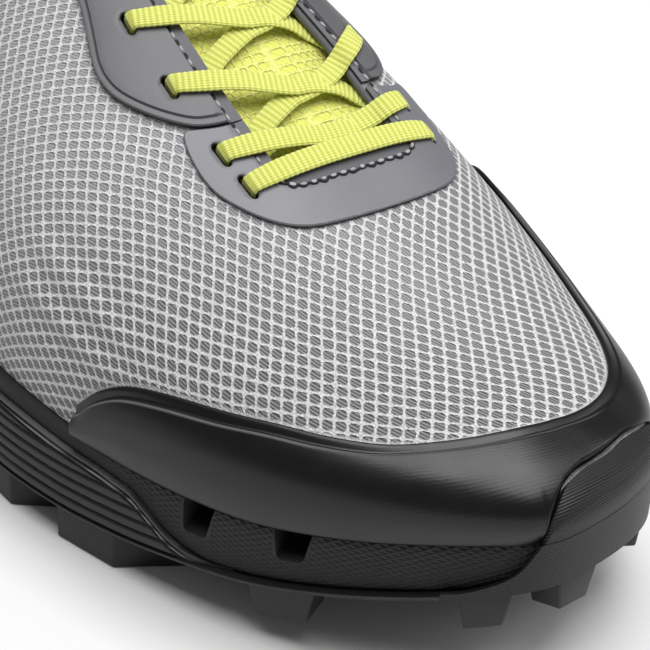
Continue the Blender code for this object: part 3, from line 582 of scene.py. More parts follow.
def make(name, points, faces, materials, nodes=(), marks=None, indices=None, crisp=38.0):
    """Piece from millimetre points in the shoe's own frame, riding on the one body."""
    item = mesh_object(name, placed(points), faces)
    mesh = item.data
    for key in materials:
        mesh.materials.append(finishes[key])
    if indices is not None:
        mesh.polygons.foreach_set("material_index", np.asarray(indices, np.int32))
    for key, values in (marks or {}).items():
        layer = mesh.attributes.new(key, "FLOAT_VECTOR", "POINT")
        layer.data.foreach_set("vector", np.asarray(values, np.float32).ravel())
    face_outwards(mesh)
    mesh.polygons.foreach_set("use_smooth", np.ones(len(mesh.polygons), bool))
    mesh.set_sharp_from_angle(angle=np.radians(crisp))
    mesh.update()
    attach(item, "root")
    if nodes:
        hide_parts(*nodes)
    return item


def grid_faces(columns, rows):
    corners = [(i * rows + j, (i + 1) * rows + j) for i in range(columns - 1) for j in range(rows - 1)]
    return [(a, b, b + 1, a + 1) for a, b in corners]


def ring_faces(rings, sides):
    """Faces between closed rings that follow one another."""
    faces = []
    for i in range(rings - 1):
        for j in range(sides):
            k = (j + 1) % sides
            a = i * sides
            faces.append((a + j, a + k, a + sides + k, a + sides + j))
    return faces


def swept_faces(rings, sides):
    """Faces of a closed run of rings, with both ends capped."""
    ends = [tuple(reversed(range(sides))), tuple(range((rings - 1) * sides, rings * sides))]
    return ring_faces(rings, sides) + ends


def free_edges(faces):
    """Edges that one face alone uses, in that face's order."""
    sides = {}
    for face in faces:
        for a, b in zip(face, face[1:] + face[:1]):
            if (b, a) in sides:
                del sides[(b, a)]
            else:
                sides[(a, b)] = True
    return list(sides)


def thick(outer, inner, faces):
    """Closed solid between two surfaces with the same faces: points, faces, kind of each face."""
    count = len(outer)
    walls = [(b, a, a + count, b + count) for a, b in free_edges(faces)]
    backs = [tuple(i + count for i in reversed(face)) for face in faces]
    kinds = [0] * len(faces) + [1] * len(backs) + [2] * len(walls)
    return np.concatenate([outer, inner]), list(faces) + backs + walls, kinds


def shell_piece(name, outer, inner, material, node, marks, crisp=38.0):
    """Closed piece between two grids of points, with the same marks on both."""
    points, faces, _ = thick(outer.reshape(-1, 3), inner.reshape(-1, 3), grid_faces(*outer.shape[:2]))
    both = {key: np.tile(values.reshape(-1, 3), (2, 1)) for key, values in marks.items()}
    return make(name, points, faces, [material], [node], both, crisp=crisp)


def inside(points, loop):
    """Which points lie inside a closed loop."""
    x, y = points[:, 0], points[:, 1]
    hit = np.zeros(len(points), bool)
    for (x1, y1), (x2, y2) in zip(loop, np.roll(loop, -1, 0)):
        if y1 == y2:
            continue
        hit ^= ((y1 > y) != (y2 > y)) & (x < (x2 - x1) * (y - y1) / (y2 - y1) + x1)
    return hit


def line_distance(points, line):
    """Distance from points to an open line."""
    best = np.full(len(points), np.inf)
    for a, b in zip(line[:-1], line[1:]):
        way = b - a
        s = np.clip((points - a) @ way / (way @ way), 0, 1)
        best = np.minimum(best, np.linalg.norm(points - a - s[:, None] * way, axis=1))
    return best


def resampled(line, spacing):
    """Points along an open line at one spacing."""
    run = run_along(line)
    count = max(2, int(np.ceil(run[-1] / spacing)) + 1)
    goals = np.linspace(0, run[-1], count)
    return np.column_stack([np.interp(goals, run, line[:, k]) for k in range(line.shape[1])])


def rounded(line, passes):
    """Corners of an open line cut off a few times."""
    for _ in range(passes):
        first = 0.75 * line[:-1] + 0.25 * line[1:]
        second = 0.25 * line[:-1] + 0.75 * line[1:]
        middle = np.stack([first, second], 1).reshape(-1, line.shape[1])
        line = np.concatenate([line[:1], middle, line[-1:]])
    return line


# Columns round the shoe, heel to toe on the lateral side and back on the medial side
bands = [(0, THROAT_TOP, 70), (THROAT_TOP, THROAT_FRONT, 84), (THROAT_FRONT, LENGTH, 110)]
half_angles = [0.0]
for start_x, end_x, pieces in bands:
    half_angles += list(np.linspace(angle_at(start_x), angle_at(end_x), pieces + 1)[1:])
half_angles = np.array(half_angles)
HALF = len(half_angles) - 1
ANGLES = np.concatenate([half_angles, 2 * np.pi - half_angles[-2:0:-1]])
COLUMNS = len(ANGLES)
FIRST_VAMP = bands[0][2] + bands[1][2]


# Cloth coordinates over the upper
SECTION_X = np.linspace(0.5, 290.0, 291)
SECTION_W = np.linspace(0.0, 1.0, 121)
EDGE_START = 120.0
GIRTH_STEPS = 59
HALVINGS = 40

# Crest of the toe: the foremost point at each section height, which is the centre line of the cloth there
crest_t = np.linspace(0.0, 1.0, 101)
crest_search = np.linspace(np.pi - 0.3, np.pi + 0.9, 481)
crest_x = form(*np.meshgrid(crest_search, crest_t, indexing="ij"))[..., 0]
crest_angle = crest_search[crest_x.argmax(0)]
crest_x = crest_x.max(0)
centre_t = np.maximum(np.interp(SECTION_X, crest_x[::-1], crest_t[::-1]), 0.02)


def section_girth(medial):
    """Girth from the centre line over cross cuts of one side of the shoe."""
    goal = np.repeat(SECTION_X[:, None], len(SECTION_W), 1)
    t = centre_t[:, None] * (1 - SECTION_W[None] ** 2)
    near = np.interp(t, crest_t, crest_angle)
    far = np.full_like(goal, 2 * np.pi if medial else 0.0)
    for _ in range(HALVINGS):
        middle = (near + far) / 2
        beyond = form(middle, t)[..., 0] > goal
        near = np.where(beyond, middle, near)
        far = np.where(beyond, far, middle)
    return run_along(form(near, t))


def look_up(values, x, w):
    """Straight interpolation in a grid over sections and their width."""
    i = np.clip((x - SECTION_X[0]) / (SECTION_X[1] - SECTION_X[0]), 0, len(SECTION_X) - 1.001)
    j = np.clip(w / SECTION_W[1], 0, len(SECTION_W) - 1.001)
    i0 = i.astype(int)
    j0 = j.astype(int)
    a = i - i0
    b = j - j0
    low = values[i0, j0] * (1 - b) + values[i0, j0 + 1] * b
    high = values[i0 + 1, j0] * (1 - b) + values[i0 + 1, j0 + 1] * b
    return low * (1 - a) + high * a


girth_maps = [section_girth(False), section_girth(True)]
edge_run = np.linspace(0, np.pi, 1200)
edge_lengths = []
for sign in (1, -1):
    run = run_along(outline(edge_run * sign, INSET))
    edge_lengths.append(run - np.interp(angle_at(EDGE_START), edge_run, run))


def cloth(angle, t):
    """Place along the shoe and girth from the centre line, in millimetres."""
    medial = angle > np.interp(t, crest_t, crest_angle)
    half = np.where(angle > np.pi, 2 * np.pi - angle, angle)
    x = form(angle, t)[..., 0]
    w = np.sqrt(np.clip(1 - t / np.interp(x, SECTION_X, centre_t), 0, 1))
    column = np.linspace(1, 0, GIRTH_STEPS + 1)
    run = run_along(form(angle[:, None], column[None] * np.ones_like(angle)[:, None]))
    place = (1 - t) * GIRTH_STEPS
    low = np.clip(place.astype(int), 0, GIRTH_STEPS - 1)
    part = place - low
    rows = np.arange(len(angle))
    girth_column = run[rows, low] * (1 - part) + run[rows, low + 1] * part
    lateral_girth, medial_girth = [look_up(values, x, w) for values in girth_maps]
    girth_section = np.where(medial, medial_girth, lateral_girth)
    front = smooth(x, 185, 205)
    girth = girth_column * (1 - front) + girth_section * front
    lateral_edge, medial_edge = [np.interp(half, edge_run, lengths) for lengths in edge_lengths]
    edge = np.where(medial, medial_edge, lateral_edge)
    middle = smooth(x, EDGE_START - 10, EDGE_START + 10)
    along = (EDGE_START + edge) * (1 - middle) + x * middle
    return along, np.where(medial, girth, -girth)


def evened(points, girth):
    """Girth over the forefoot, evened out by a quartic in space."""
    scaled = (points - np.array([240.0, -5.0, 60.0])) / 45.0
    powers = [(i, j, k) for i in range(5) for j in range(5 - i) for k in range(5 - i - j)]
    terms = np.column_stack([scaled[:, 0] ** i * scaled[:, 1] ** j * scaled[:, 2] ** k for i, j, k in powers])
    front = points[:, 0] > 195
    shares = np.linalg.lstsq(terms[front], girth[front], rcond=None)[0]
    blend = smooth(points[:, 0], 197, 212)
    return girth * (1 - blend) + (terms @ shares) * blend


# Lay of the cloth's grid: cubic in x and girth inside a window, carried on straight outside it
LAY_CENTRE = (225.0, -20.0)
LAY_SCALE = 40.0
LAY_X = (184.0, 278.0)
LAY_GIRTH = (-64.0, 33.0)
LAY_POWERS = [(0, 0), (0, 1), (0, 2), (0, 3), (1, 0), (1, 1), (1, 2), (2, 0), (2, 1), (3, 0)]
LAY_A = [-3.449, 13.875, 0.519, -0.092, 10.485, 0.014, 0.594, -0.540, -1.488, 0.239]
LAY_B = [-0.276, -15.671, 0.165, 0.585, 12.662, 0.394, -0.113, -0.203, 1.167, 1.405]


def cloth_marks(along, girth, clear):
    """Cloth coordinates in whole cells, and the way to the bumper's edge."""
    p = (along - LAY_CENTRE[0]) / LAY_SCALE
    q = (girth - LAY_CENTRE[1]) / LAY_SCALE
    near_p = np.clip(p, *[(v - LAY_CENTRE[0]) / LAY_SCALE for v in LAY_X])
    near_q = np.clip(q, *[(v - LAY_CENTRE[1]) / LAY_SCALE for v in LAY_GIRTH])
    cells = []
    for lay in (LAY_A, LAY_B):
        value = np.zeros_like(p)
        slope_p = np.zeros_like(p)
        slope_q = np.zeros_like(p)
        for share, (i, j) in zip(lay, LAY_POWERS):
            value += share * near_p**i * near_q**j
            slope_p += share * i * near_p ** max(i - 1, 0) * near_q**j
            slope_q += share * j * near_p**i * near_q ** max(j - 1, 0)
        cells.append(value + slope_p * (p - near_p) + slope_q * (q - near_q))
    return np.column_stack([*cells, clear])


def crease(x, share):
    """Soft troughs and ridges where the forefoot flexes."""
    place = np.column_stack([x, share * GIRTH])
    depth = np.zeros(len(x))
    for x0, s0, x1, s1, width, deep in CREASES:
        start = np.array([x0, s0 * GIRTH])
        way = np.array([x1, s1 * GIRTH]) - start
        length = np.linalg.norm(way)
        way = way / length
        off = place - start
        along = off @ way / length
        across = off @ np.array([-way[1], way[0]])
        ends = smooth(along, -0.25, 0.2) * (1 - smooth(along, 0.55, 1.15))
        depth += deep * np.exp(-((across / width) ** 2)) * ends
    return -depth


# Upper: outer cloth, lining, rounded rim at collar and throat
SIDE_ROWS = 46
VAMP_ROWS = 22
CLOTH_BACK = 0.003
SLOT_EASE = 0.4
throat_share = {True: THROAT_LATERAL + CLOTH_BACK, False: THROAT_MEDIAL + CLOTH_BACK}
lateral_column = np.arange(COLUMNS) <= HALF
open_t = np.where(lateral_column, 1 - throat_share[True], 1 - throat_share[False])
goal_z = collar_z(x_at(ANGLES))
low_t = np.zeros(COLUMNS)
high_t = np.ones(COLUMNS)
for _ in range(HALVINGS):
    middle_t = (low_t + high_t) / 2
    short = form(ANGLES, middle_t)[:, 2] < goal_z
    low_t = np.where(short, middle_t, low_t)
    high_t = np.where(short, high_t, middle_t)
back_column = np.minimum(np.arange(COLUMNS), COLUMNS - np.arange(COLUMNS)) < bands[0][2]
edge_t = np.where(back_column, np.minimum(open_t, low_t), open_t)
TOE_BLEND = 34
toe_mean = 0.5 * (throat_share[True] + throat_share[False])
for step in range(-TOE_BLEND, TOE_BLEND + 1):
    edge_t[HALF + step] = 1 - toe_mean - (throat_share[step <= 0] - toe_mean) * abs(step) / TOE_BLEND

index = {}
vertex_angle, vertex_t, vertex_wall, vertex_bottom = [], [], [], []


def place(column, row, angle, t, wall, bottom=False):
    index[(column, row)] = len(vertex_angle)
    vertex_angle.append(angle)
    vertex_t.append(t)
    vertex_wall.append(wall)
    vertex_bottom.append(bottom)


for column in range(COLUMNS):
    angle = ANGLES[column]
    padding = 1 - smooth(x_at(angle), COLLAR_END - 8, COLLAR_END + 6)
    for row in range(SIDE_ROWS + 1):
        share = row / SIDE_ROWS
        wall = WALL + (COLLAR_WALL - WALL) * padding * np.clip((share - 0.5) / 0.2, 0, 1)
        place(column, row, angle, edge_t[column] * share, wall, row == 0)
for column in range(FIRST_VAMP, COLUMNS - FIRST_VAMP + 1):
    angle = ANGLES[column]
    power = FULLNESS[-1][1 if column <= HALF else 2]
    for row in range(1, VAMP_ROWS + 1):
        share = (1 - edge_t[column]) * (1 - row / VAMP_ROWS) ** (1 / power)
        if row < VAMP_ROWS or column <= HALF:
            place(column, SIDE_ROWS + row, angle, 1 - share, WALL)
        else:
            index[(column, SIDE_ROWS + row)] = index[(COLUMNS - column, SIDE_ROWS + row)]
vertex_angle = np.array(vertex_angle)
vertex_t = np.array(vertex_t)
vertex_x = x_at(vertex_angle)
vertex_share = np.where(vertex_angle > np.pi, 1, -1) * (1 - vertex_t)
lateral_angle = np.where(vertex_angle > np.pi, 2 * np.pi - vertex_angle, vertex_angle)
near_ridge = (np.abs(vertex_share) < RIDGE_BLEND / 2)[:, None]
out = unit(np.where(near_ridge, crown(lateral_angle, vertex_t, vertex_share), normal(vertex_angle, vertex_t)))
upper_outer = form(vertex_angle, vertex_t) + out * crease(vertex_x, vertex_share)[:, None]
upper_inner = upper_outer - out * np.array(vertex_wall)[:, None]
bottom = np.array(vertex_bottom)
upper_inner[bottom, 2] = deck(upper_inner[bottom, 0])
slot_far = np.full(len(vertex_x), np.inf)
for x, lateral_share, medial_share in EYELETS:
    for share in (-lateral_share, medial_share):
        reach_x = np.maximum(np.abs(vertex_x - x) - SLOT_LENGTH / 2 + SLOT_EASE, 0)
        reach_s = np.maximum(np.abs(vertex_share - share) * GIRTH - SLOT_WIDTH / 2 + SLOT_EASE, 0)
        slot_far = np.minimum(slot_far, np.hypot(reach_x, reach_s))
upper_faces = []
for column in range(COLUMNS):
    following = (column + 1) % COLUMNS
    vamp = FIRST_VAMP <= column < COLUMNS - FIRST_VAMP
    for row in range(SIDE_ROWS + (VAMP_ROWS if vamp else 0)):
        corners = ((column, row), (following, row), (following, row + 1), (column, row + 1))
        quad = tuple(dict.fromkeys(index[corner] for corner in corners))
        if slot_far[list(quad)].min() > 0.5:
            upper_faces.append(quad)

rim_columns = list(range(COLUMNS - FIRST_VAMP, COLUMNS)) + list(range(FIRST_VAMP + 1))
RIM_ROWS = 4
count = len(upper_outer)
points = [upper_outer, upper_inner]
rim_index = {}
for column in rim_columns:
    top = index[(column, SIDE_ROWS)]
    below = index[(column, SIDE_ROWS - 1)]
    rise = unit(upper_outer[top] - upper_outer[below])
    centre = (upper_outer[top] + upper_inner[top]) / 2
    arm = upper_outer[top] - centre
    turn = np.linspace(0, np.pi, RIM_ROWS + 2)[1:-1]
    bow = centre + np.cos(turn)[:, None] * arm + np.sin(turn)[:, None] * rise * 0.8 * np.linalg.norm(arm)
    start = sum(len(block) for block in points)
    rim_index[top] = [top] + list(range(start, start + RIM_ROWS)) + [top + count]
    points.append(bow)
walls, rims = [], []
for a, b in free_edges(upper_faces):
    if a in rim_index and b in rim_index:
        for k in range(RIM_ROWS + 1):
            rims.append((rim_index[b][k], rim_index[a][k], rim_index[a][k + 1], rim_index[b][k + 1]))
    else:
        walls.append((b, a, a + count, b + count))
for column in (FIRST_VAMP, COLUMNS - FIRST_VAMP):
    rims.append(tuple(rim_index[index[(column, SIDE_ROWS)]]))
backs = [tuple(i + count for i in reversed(face)) for face in upper_faces]
points = np.concatenate(points)
along, girth = cloth(vertex_angle, np.minimum(vertex_t, 0.9999))
girth = evened(form(vertex_angle, vertex_t), girth)
marks = np.zeros((len(points), 3))
bumper_top = table(BUMPER_TOP)
edge_degrees = np.linspace(BUMPER_TOP[0][0], BUMPER_TOP[-1][0], 400)
edge_line = form(np.radians(edge_degrees), bumper_top(edge_degrees))
clear = np.array([np.linalg.norm(edge_line - point, axis=1).min() for point in form(vertex_angle, vertex_t)])
covered = vertex_t < np.interp(np.degrees(vertex_angle), edge_degrees, bumper_top(edge_degrees), 0.0, 0.0)
marks[:count] = cloth_marks(along, girth, np.where(covered, -clear, clear))
marks[count:2 * count] = marks[:count]
kinds = [0] * len(upper_faces) + [1] * (len(backs) + len(walls)) + [2] * len(rims)
make("upper_mesh", points, upper_faces + backs + walls + rims, ["mesh", "lining", "strip"], ["upper"],
     {"cloth": marks}, kinds, crisp=50.0)


# Toe wrap of the outsole
wrap_top = table(TOE_WRAP)
WRAP_ROWS = 26
WRAP_BANDS = [(158, 171, 30), (171.2, 182, 60), (182.5, 206, 48), (206.4, 218, 30)]
wrap_degrees = np.concatenate([np.linspace(*band) for band in WRAP_BANDS])
WRAP_PROUD = 0.7
WRAP_INSIDE = 0.4
WRAP_LIP = 3.6

# Rows of the side rubbers that are rooted in the plate: two heights, inset of the inside
ROOT_HEIGHTS = (1.2, PLATE - 0.3)
ROOT_INSET = 1.2


def rooted(height, rows, inset):
    """Shares of a column with its two root rows, and the inset of its inside."""
    shares = np.concatenate([np.array(ROOT_HEIGHTS) / height, rows])
    return shares, np.where(np.arange(len(shares)) < len(ROOT_HEIGHTS), ROOT_INSET, inset)


def wrap_column(degrees):
    """Outer and inner points of the toe wrap at one outline angle."""
    angle = np.array(np.radians(degrees))
    top = float(wrap_top(degrees))
    plan = outline(angle, 0.0)
    height = float(deck(plan[0]) - tread(plan[0]))
    free = (PLATE + GAP) / height
    side_end = min(max(top, free + 0.02), WRAP_RIM)
    shares, insets = rooted(height, np.linspace(free, side_end, WRAP_ROWS), WRAP_INSIDE)
    angles = np.full(len(shares), angle)
    outer = side_point(angles, shares, -WRAP_PROUD)
    inner = side_point(angles, shares, insets)
    steps = np.linspace(0, 1, 9)[1:]
    angles = np.full(len(steps), angle)
    if top > WRAP_RIM:
        t = (top - 1) * WRAP_STEP * steps
        far = raised(angles, t, WRAP_LIP - 0.9 * smooth(steps, 0.75, 1.0))
        near = raised(angles, t, GAP + 0.1)
    else:
        shares = side_end + 0.012 * steps
        far = side_point(angles, shares, -WRAP_PROUD + 0.6 * smooth(steps, 0.4, 1.0))
        near = side_point(angles, shares, WRAP_INSIDE)
    return np.concatenate([outer, far]), np.concatenate([inner, near]), np.zeros(len(outer) + len(far))


def strip_piece(name, columns, lined):
    """Closed strip from columns of outer points, inner points and painted highlight, with marks along and up
    it.
    """
    outer, inner, highlight_amount = [np.array(part) for part in zip(*columns)]
    along = run_along(outer[:, outer.shape[1] // 2])[:, None]
    side = np.stack(np.broadcast_arrays(along, run_along(outer), lined), -1)
    marks = {"side": side, "painted_highlight": np.stack([highlight_amount] * 3, -1)}
    return shell_piece(name, outer, inner, "tread", "outsole", marks)


strip_piece("outsole_toe_wrap", [wrap_column(degrees) for degrees in wrap_degrees], 1.0)

# Ribbed rubber on the lateral side, with a raised double border
side_top = table(SIDE_RUBBER)
SIDE_RUBBER_ROWS = 64
BORDER = [(0.0, 0.15), (0.3, 0.6), (0.6, 0.62), (0.85, 0.1), (1.2, 0.1), (1.45, 0.66), (1.85, 0.68),
          (2.15, 0.0), (2.6, 0.0)]
border_relief = table(BORDER)
GROOVE_PITCH = 2.75
GROOVE_HALF = 0.36
SIDE_INSIDE = 0.75
SIDE_SINK = 1.15
SIDE_SINK_RUN = 9.0


def side_column(x):
    """Outer and inner points of the ribbed side at one place along the shoe, and the painted highlight on its
    border ridges.
    """
    angle = np.array(angle_at(x))
    height = float(deck(x) - tread(x))
    free = (PLATE + GAP) / height
    top = max(float(side_top(x)), free + 0.03)
    rows = np.linspace(free, top, SIDE_RUBBER_ROWS)
    shares, insets = rooted(height, rows, SIDE_INSIDE)
    below = (top - rows) * height
    above = (rows - free) * height
    tall = (top - free) * height
    off = np.abs((above / GROOVE_PITCH + 0.5) % 1.0 - 0.5) * GROOVE_PITCH
    ribs = RIB_HEIGHT * (1 - np.exp(-((off / GROOVE_HALF) ** 2))) * smooth(below, 2.3, 2.7)
    edge = border_relief(np.minimum(below, 2.6)) * np.clip(tall / 4.0, 0, 1)
    relief = np.concatenate([[0.0, 0.0], np.maximum(ribs, edge)])
    fade = smooth(tall, 0.4, 3.0)
    sink = SIDE_SINK * smooth(x, SIDE_RUBBER[-1][0] - SIDE_SINK_RUN, SIDE_RUBBER[-1][0])
    shell = 0.25 - 0.75 * relief * fade + sink
    shell[-1] = 0.6 + sink
    # Painted highlights: a thin line on the outer border ridge and dashes on the inner ridge between the ribs
    ridge_highlight = np.exp(-(((below - 0.42) / 0.16) ** 2)) * 0.3
    ridge_highlight += np.exp(-(((below - 1.65) / 0.17) ** 2)) * smooth(off, 0.3, 0.7) * 0.8
    ridge_highlight = np.concatenate([[0.0, 0.0], ridge_highlight * np.clip(tall / 5.0, 0, 1)])
    angles = np.full(len(shares), angle)
    return side_point(angles, shares, shell), side_point(angles, shares, insets + sink), ridge_highlight


side_xs = np.linspace(SIDE_RUBBER[0][0], SIDE_RUBBER[-1][0], 220)
strip_piece("outsole_side_rubber", [side_column(x) for x in side_xs], 0.2)


def ring(inset, level):
    """Ring of points at one inset from the sole's edge, with height as a function of x."""
    plan = outline(ANGLES, inset)
    return np.column_stack([plan, level(plan[:, 0])])


def slab(rings):
    """Closed solid from rings round the sole: points, faces."""
    faces = ring_faces(len(rings), COLUMNS)
    for base in (0, (len(rings) - 1) * COLUMNS):
        for i in range(HALF):
            rung = [i, i + 1, (COLUMNS - i - 1) % COLUMNS, (COLUMNS - i) % COLUMNS]
            faces.append(tuple(dict.fromkeys(base + k for k in rung)))
    return np.concatenate(rings), faces


def ring_marks(rings, lined):
    along = run_along(outline(ANGLES, 0.0))
    return np.concatenate([np.column_stack([along, level[:, 2], np.full(COLUMNS, lined)]) for level in rings])


# Outsole plate with a thin lip under the midsole: inset, height over the tread
PLATE_EDGE = [(1.6, 0.0), (0.9, 0.25), (0.2, 1.0), (0.15, PLATE - 1.0), (-0.25, PLATE - 0.55),
              (-0.3, PLATE - 0.2), (0.2, PLATE)]
plate_rings = [ring(inset, lambda x, up=height: tread(x) + up) for inset, height in PLATE_EDGE]
plate_points, plate_faces = slab(plate_rings)
make("outsole_plate", plate_points, plate_faces, ["tread"], ["outsole"],
     {"side": ring_marks(plate_rings, 0.6)})


LUG_ROOT = 1.2
LUG_ROUND = 0.55
LUG_CORNERS = ((-1, -1), (1, -1), (1, 1), (-1, 1))


def lug_block(centre, way, length, width, outer_draft):
    """Corners of a chamfered lug, its root inside the plate."""
    way = unit(np.asarray(way, float))
    side = np.array([-way[1], way[0]])
    points = []
    for trim, outer_trim, level in ((0.0, 0.0, LUG_ROOT), (LUG_CHAMFER, outer_draft, -LUG)):
        for a, b in LUG_CORNERS:
            depth = width / 2 - (outer_trim if b < 0 else trim)
            plan = centre + way * a * (length / 2 - trim) + side * b * depth
            points.append((*plan, float(tread(plan[0])) + level))
    return points


def leaning_block(centre, way, length, width, lean):
    """Corners of a lug with upright ends and a flat foot, its inner side shifted along the sole's edge."""
    way = unit(np.asarray(way, float))
    side = np.array([-way[1], way[0]])
    points = []
    for trim, foot in ((0.0, False), (LUG_CHAMFER, True)):
        for a, b in LUG_CORNERS:
            depth = b * width / 2 - (trim if b > 0 else 0.0)
            plan = centre + way * (a * length / 2 + lean * (depth / width + 0.5)) + side * depth
            level = tread(centre[0]) - LUG if foot else tread(plan[0]) + LUG_ROOT
            points.append((*plan, float(level)))
    return points


def edge_place(degrees, width):
    """Centre of a lug on the sole's edge and the way the edge runs there."""
    angle = np.radians(degrees)
    way = outline(np.array(angle + 0.01), 5.0) - outline(np.array(angle - 0.01), 5.0)
    return outline(np.array(angle), LUG_FACE_INSET + width / 2), way


LUG_FACES = [(3, 2, 1, 0), (4, 5, 6, 7), (0, 1, 5, 4), (1, 2, 6, 5), (2, 3, 7, 6), (3, 0, 4, 7)]
blocks = [lug_block(*edge_place(degrees, width), length, width, LUG_FACE_DRAFT)
          for degrees, length, width in EDGE_LUGS]
blocks += [leaning_block(*edge_place(degrees, width), length, width, lean)
           for degrees, length, width, lean in LEANING_LUGS]
blocks += [lug_block(np.array([x, y]), (1.0, 0.0), length, width, LUG_CHAMFER)
           for x, y, length, width in INNER_LUGS]
build = bmesh.new()
for block in blocks:
    corners = [build.verts.new(p) for p in block]
    for face in LUG_FACES:
        build.faces.new([corners[i] for i in face])
bmesh.ops.bevel(build, geom=build.edges[:], offset=LUG_ROUND, segments=3, profile=0.5, affect="EDGES")
build.verts.index_update()
lug_points = np.array([v.co[:] for v in build.verts])
lug_faces = [tuple(v.index for v in face.verts) for face in build.faces]
build.free()
make("outsole_lugs", lug_points, lug_faces, ["tread"], ["outsole"],
     {"side": np.column_stack([lug_points[:, 0], lug_points[:, 2], np.zeros(len(lug_points))])})


def midsole_low(x):
    return tread(x) + PLATE + GAP


# Midsole with two drain windows
midsole_levels = np.linspace(0, 1, 12)
midsole_rings = []
for level in midsole_levels:
    belly = 1.2 - 0.4 * np.sin(np.pi * level) - 0.2 * level
    belly += 0.5 * (1 - smooth(level, 0.0, 0.06)) + 0.3 * smooth(level, 0.95, 1.0)
    midsole_rings.append(ring(belly, lambda x, s=level: midsole_low(x) * (1 - s) + (deck(x) - GAP) * s))
midsole_points, midsole_faces = slab(midsole_rings)
midsole = make("midsole_foam", midsole_points, midsole_faces, ["foam"], ["midsole"],
               {"side": ring_marks(midsole_rings, 0.0)})


WINDOW_ROUND = 2.0
WINDOW_TOP = 1.2
WINDOW_REACH = 4.0


def window_cutter(number, top_a, top_b, low_a, low_b):
    """Rounded wedge that opens a drain window."""
    scale = np.array([1.0, 15.0])
    corners = np.array([(top_a, WINDOW_TOP), (low_a, WINDOW_SILL), (low_b, WINDOW_SILL), (top_b, WINDOW_TOP)])
    corners = corners * scale
    line = [corners[0]]
    for before, corner, after in zip(corners, corners[1:], corners[2:]):
        arms = [unit(end - corner) * WINDOW_ROUND for end in (before, after)]
        line += [corner + arms[0], corner, corner + arms[1]]
    loop = rounded(np.array(line + [corners[3]]), 2) / scale
    points = [side_point(angle_at(loop[:, 0]), loop[:, 1], inset) for inset in (WINDOW_DEPTH, -WINDOW_REACH)]
    tool = mesh_object(f"window_{number}", placed(np.concatenate(points)), swept_faces(2, len(loop)))
    # Near-black walls: painted shade inside the drain window
    tool.data.materials.append(finishes["pin"])
    face_outwards(tool.data)
    return tool


tools = [window_cutter(number, *row) for number, row in enumerate(WINDOWS)]
for tool in tools:
    step = midsole.modifiers.new(tool.name, "BOOLEAN")
    step.operation = "DIFFERENCE"
    step.solver = "EXACT"
    step.material_mode = "TRANSFER"
    step.object = tool
cut = bpy.data.meshes.new_from_object(midsole.evaluated_get(bpy.context.evaluated_depsgraph_get()))
midsole.modifiers.clear()
midsole.data = cut
for tool in tools:
    bpy.data.objects.remove(tool)

# Insole: inset from the wall, height over the deck
INSOLE_EDGE = [(0.9, 0.1), (0.9, INSOLE - 0.8), (1.2, INSOLE - 0.25), (1.9, INSOLE), (8.0, INSOLE - 0.1)]
insole_rings = [ring(INSET + WALL + inset, lambda x, up=height: deck(x) + up)
                for inset, height in INSOLE_EDGE]
insole_points, insole_faces = slab(insole_rings)
make("insole_bed", insole_points, insole_faces, ["bed"], ["insole"])


# Toe bumper: thin band, raised lip with a painted highlight along its crest, swollen body
BAND = [(0.0, 0.75), (0.12, 1.0), (0.35, 1.15), (1.0, 1.2), (1.7, 1.2), (2.1, 1.2), (2.3, 1.35),
        (2.42, 1.8), (2.55, 2.2), (2.75, 2.42), (3.0, 2.5)]
# Painted highlight on the lip's crest: share for each row of the band
LIP_HIGHLIGHT = [0.0] * 7 + [0.1, 0.7, 0.3, 0.0]
BODY = [(0.0, 2.5), (0.14, 2.9), (0.34, 3.22), (0.56, 3.2), (0.79, 2.87), (0.95, 2.35), (1.0, 1.9)]
BAND_PROFILE = np.array(BAND)
BODY_ROWS = 30
BUMPER_INNER = 0.4
BUMPER_SAMPLES = 120
FULL_BAND_HEIGHT = 9.0
MIDDLE_ROW = 15
bumper_thickness = table(BUMPER_THICKNESS)
body_height = table(BODY)
MM_PER_DEGREE = 1.6
MM_PER_SECTION = 45
degrees = np.linspace(BUMPER_TOP[0][0], BUMPER_TOP[-1][0], 700)
run = run_along(np.column_stack([degrees * MM_PER_DEGREE, bumper_top(degrees) * MM_PER_SECTION]))
bumper_degrees = np.interp(np.linspace(0, run[-1], 320), run, degrees)
bumper_outer, bumper_inner, bumper_marks = [], [], []
bumper_along = 0.0
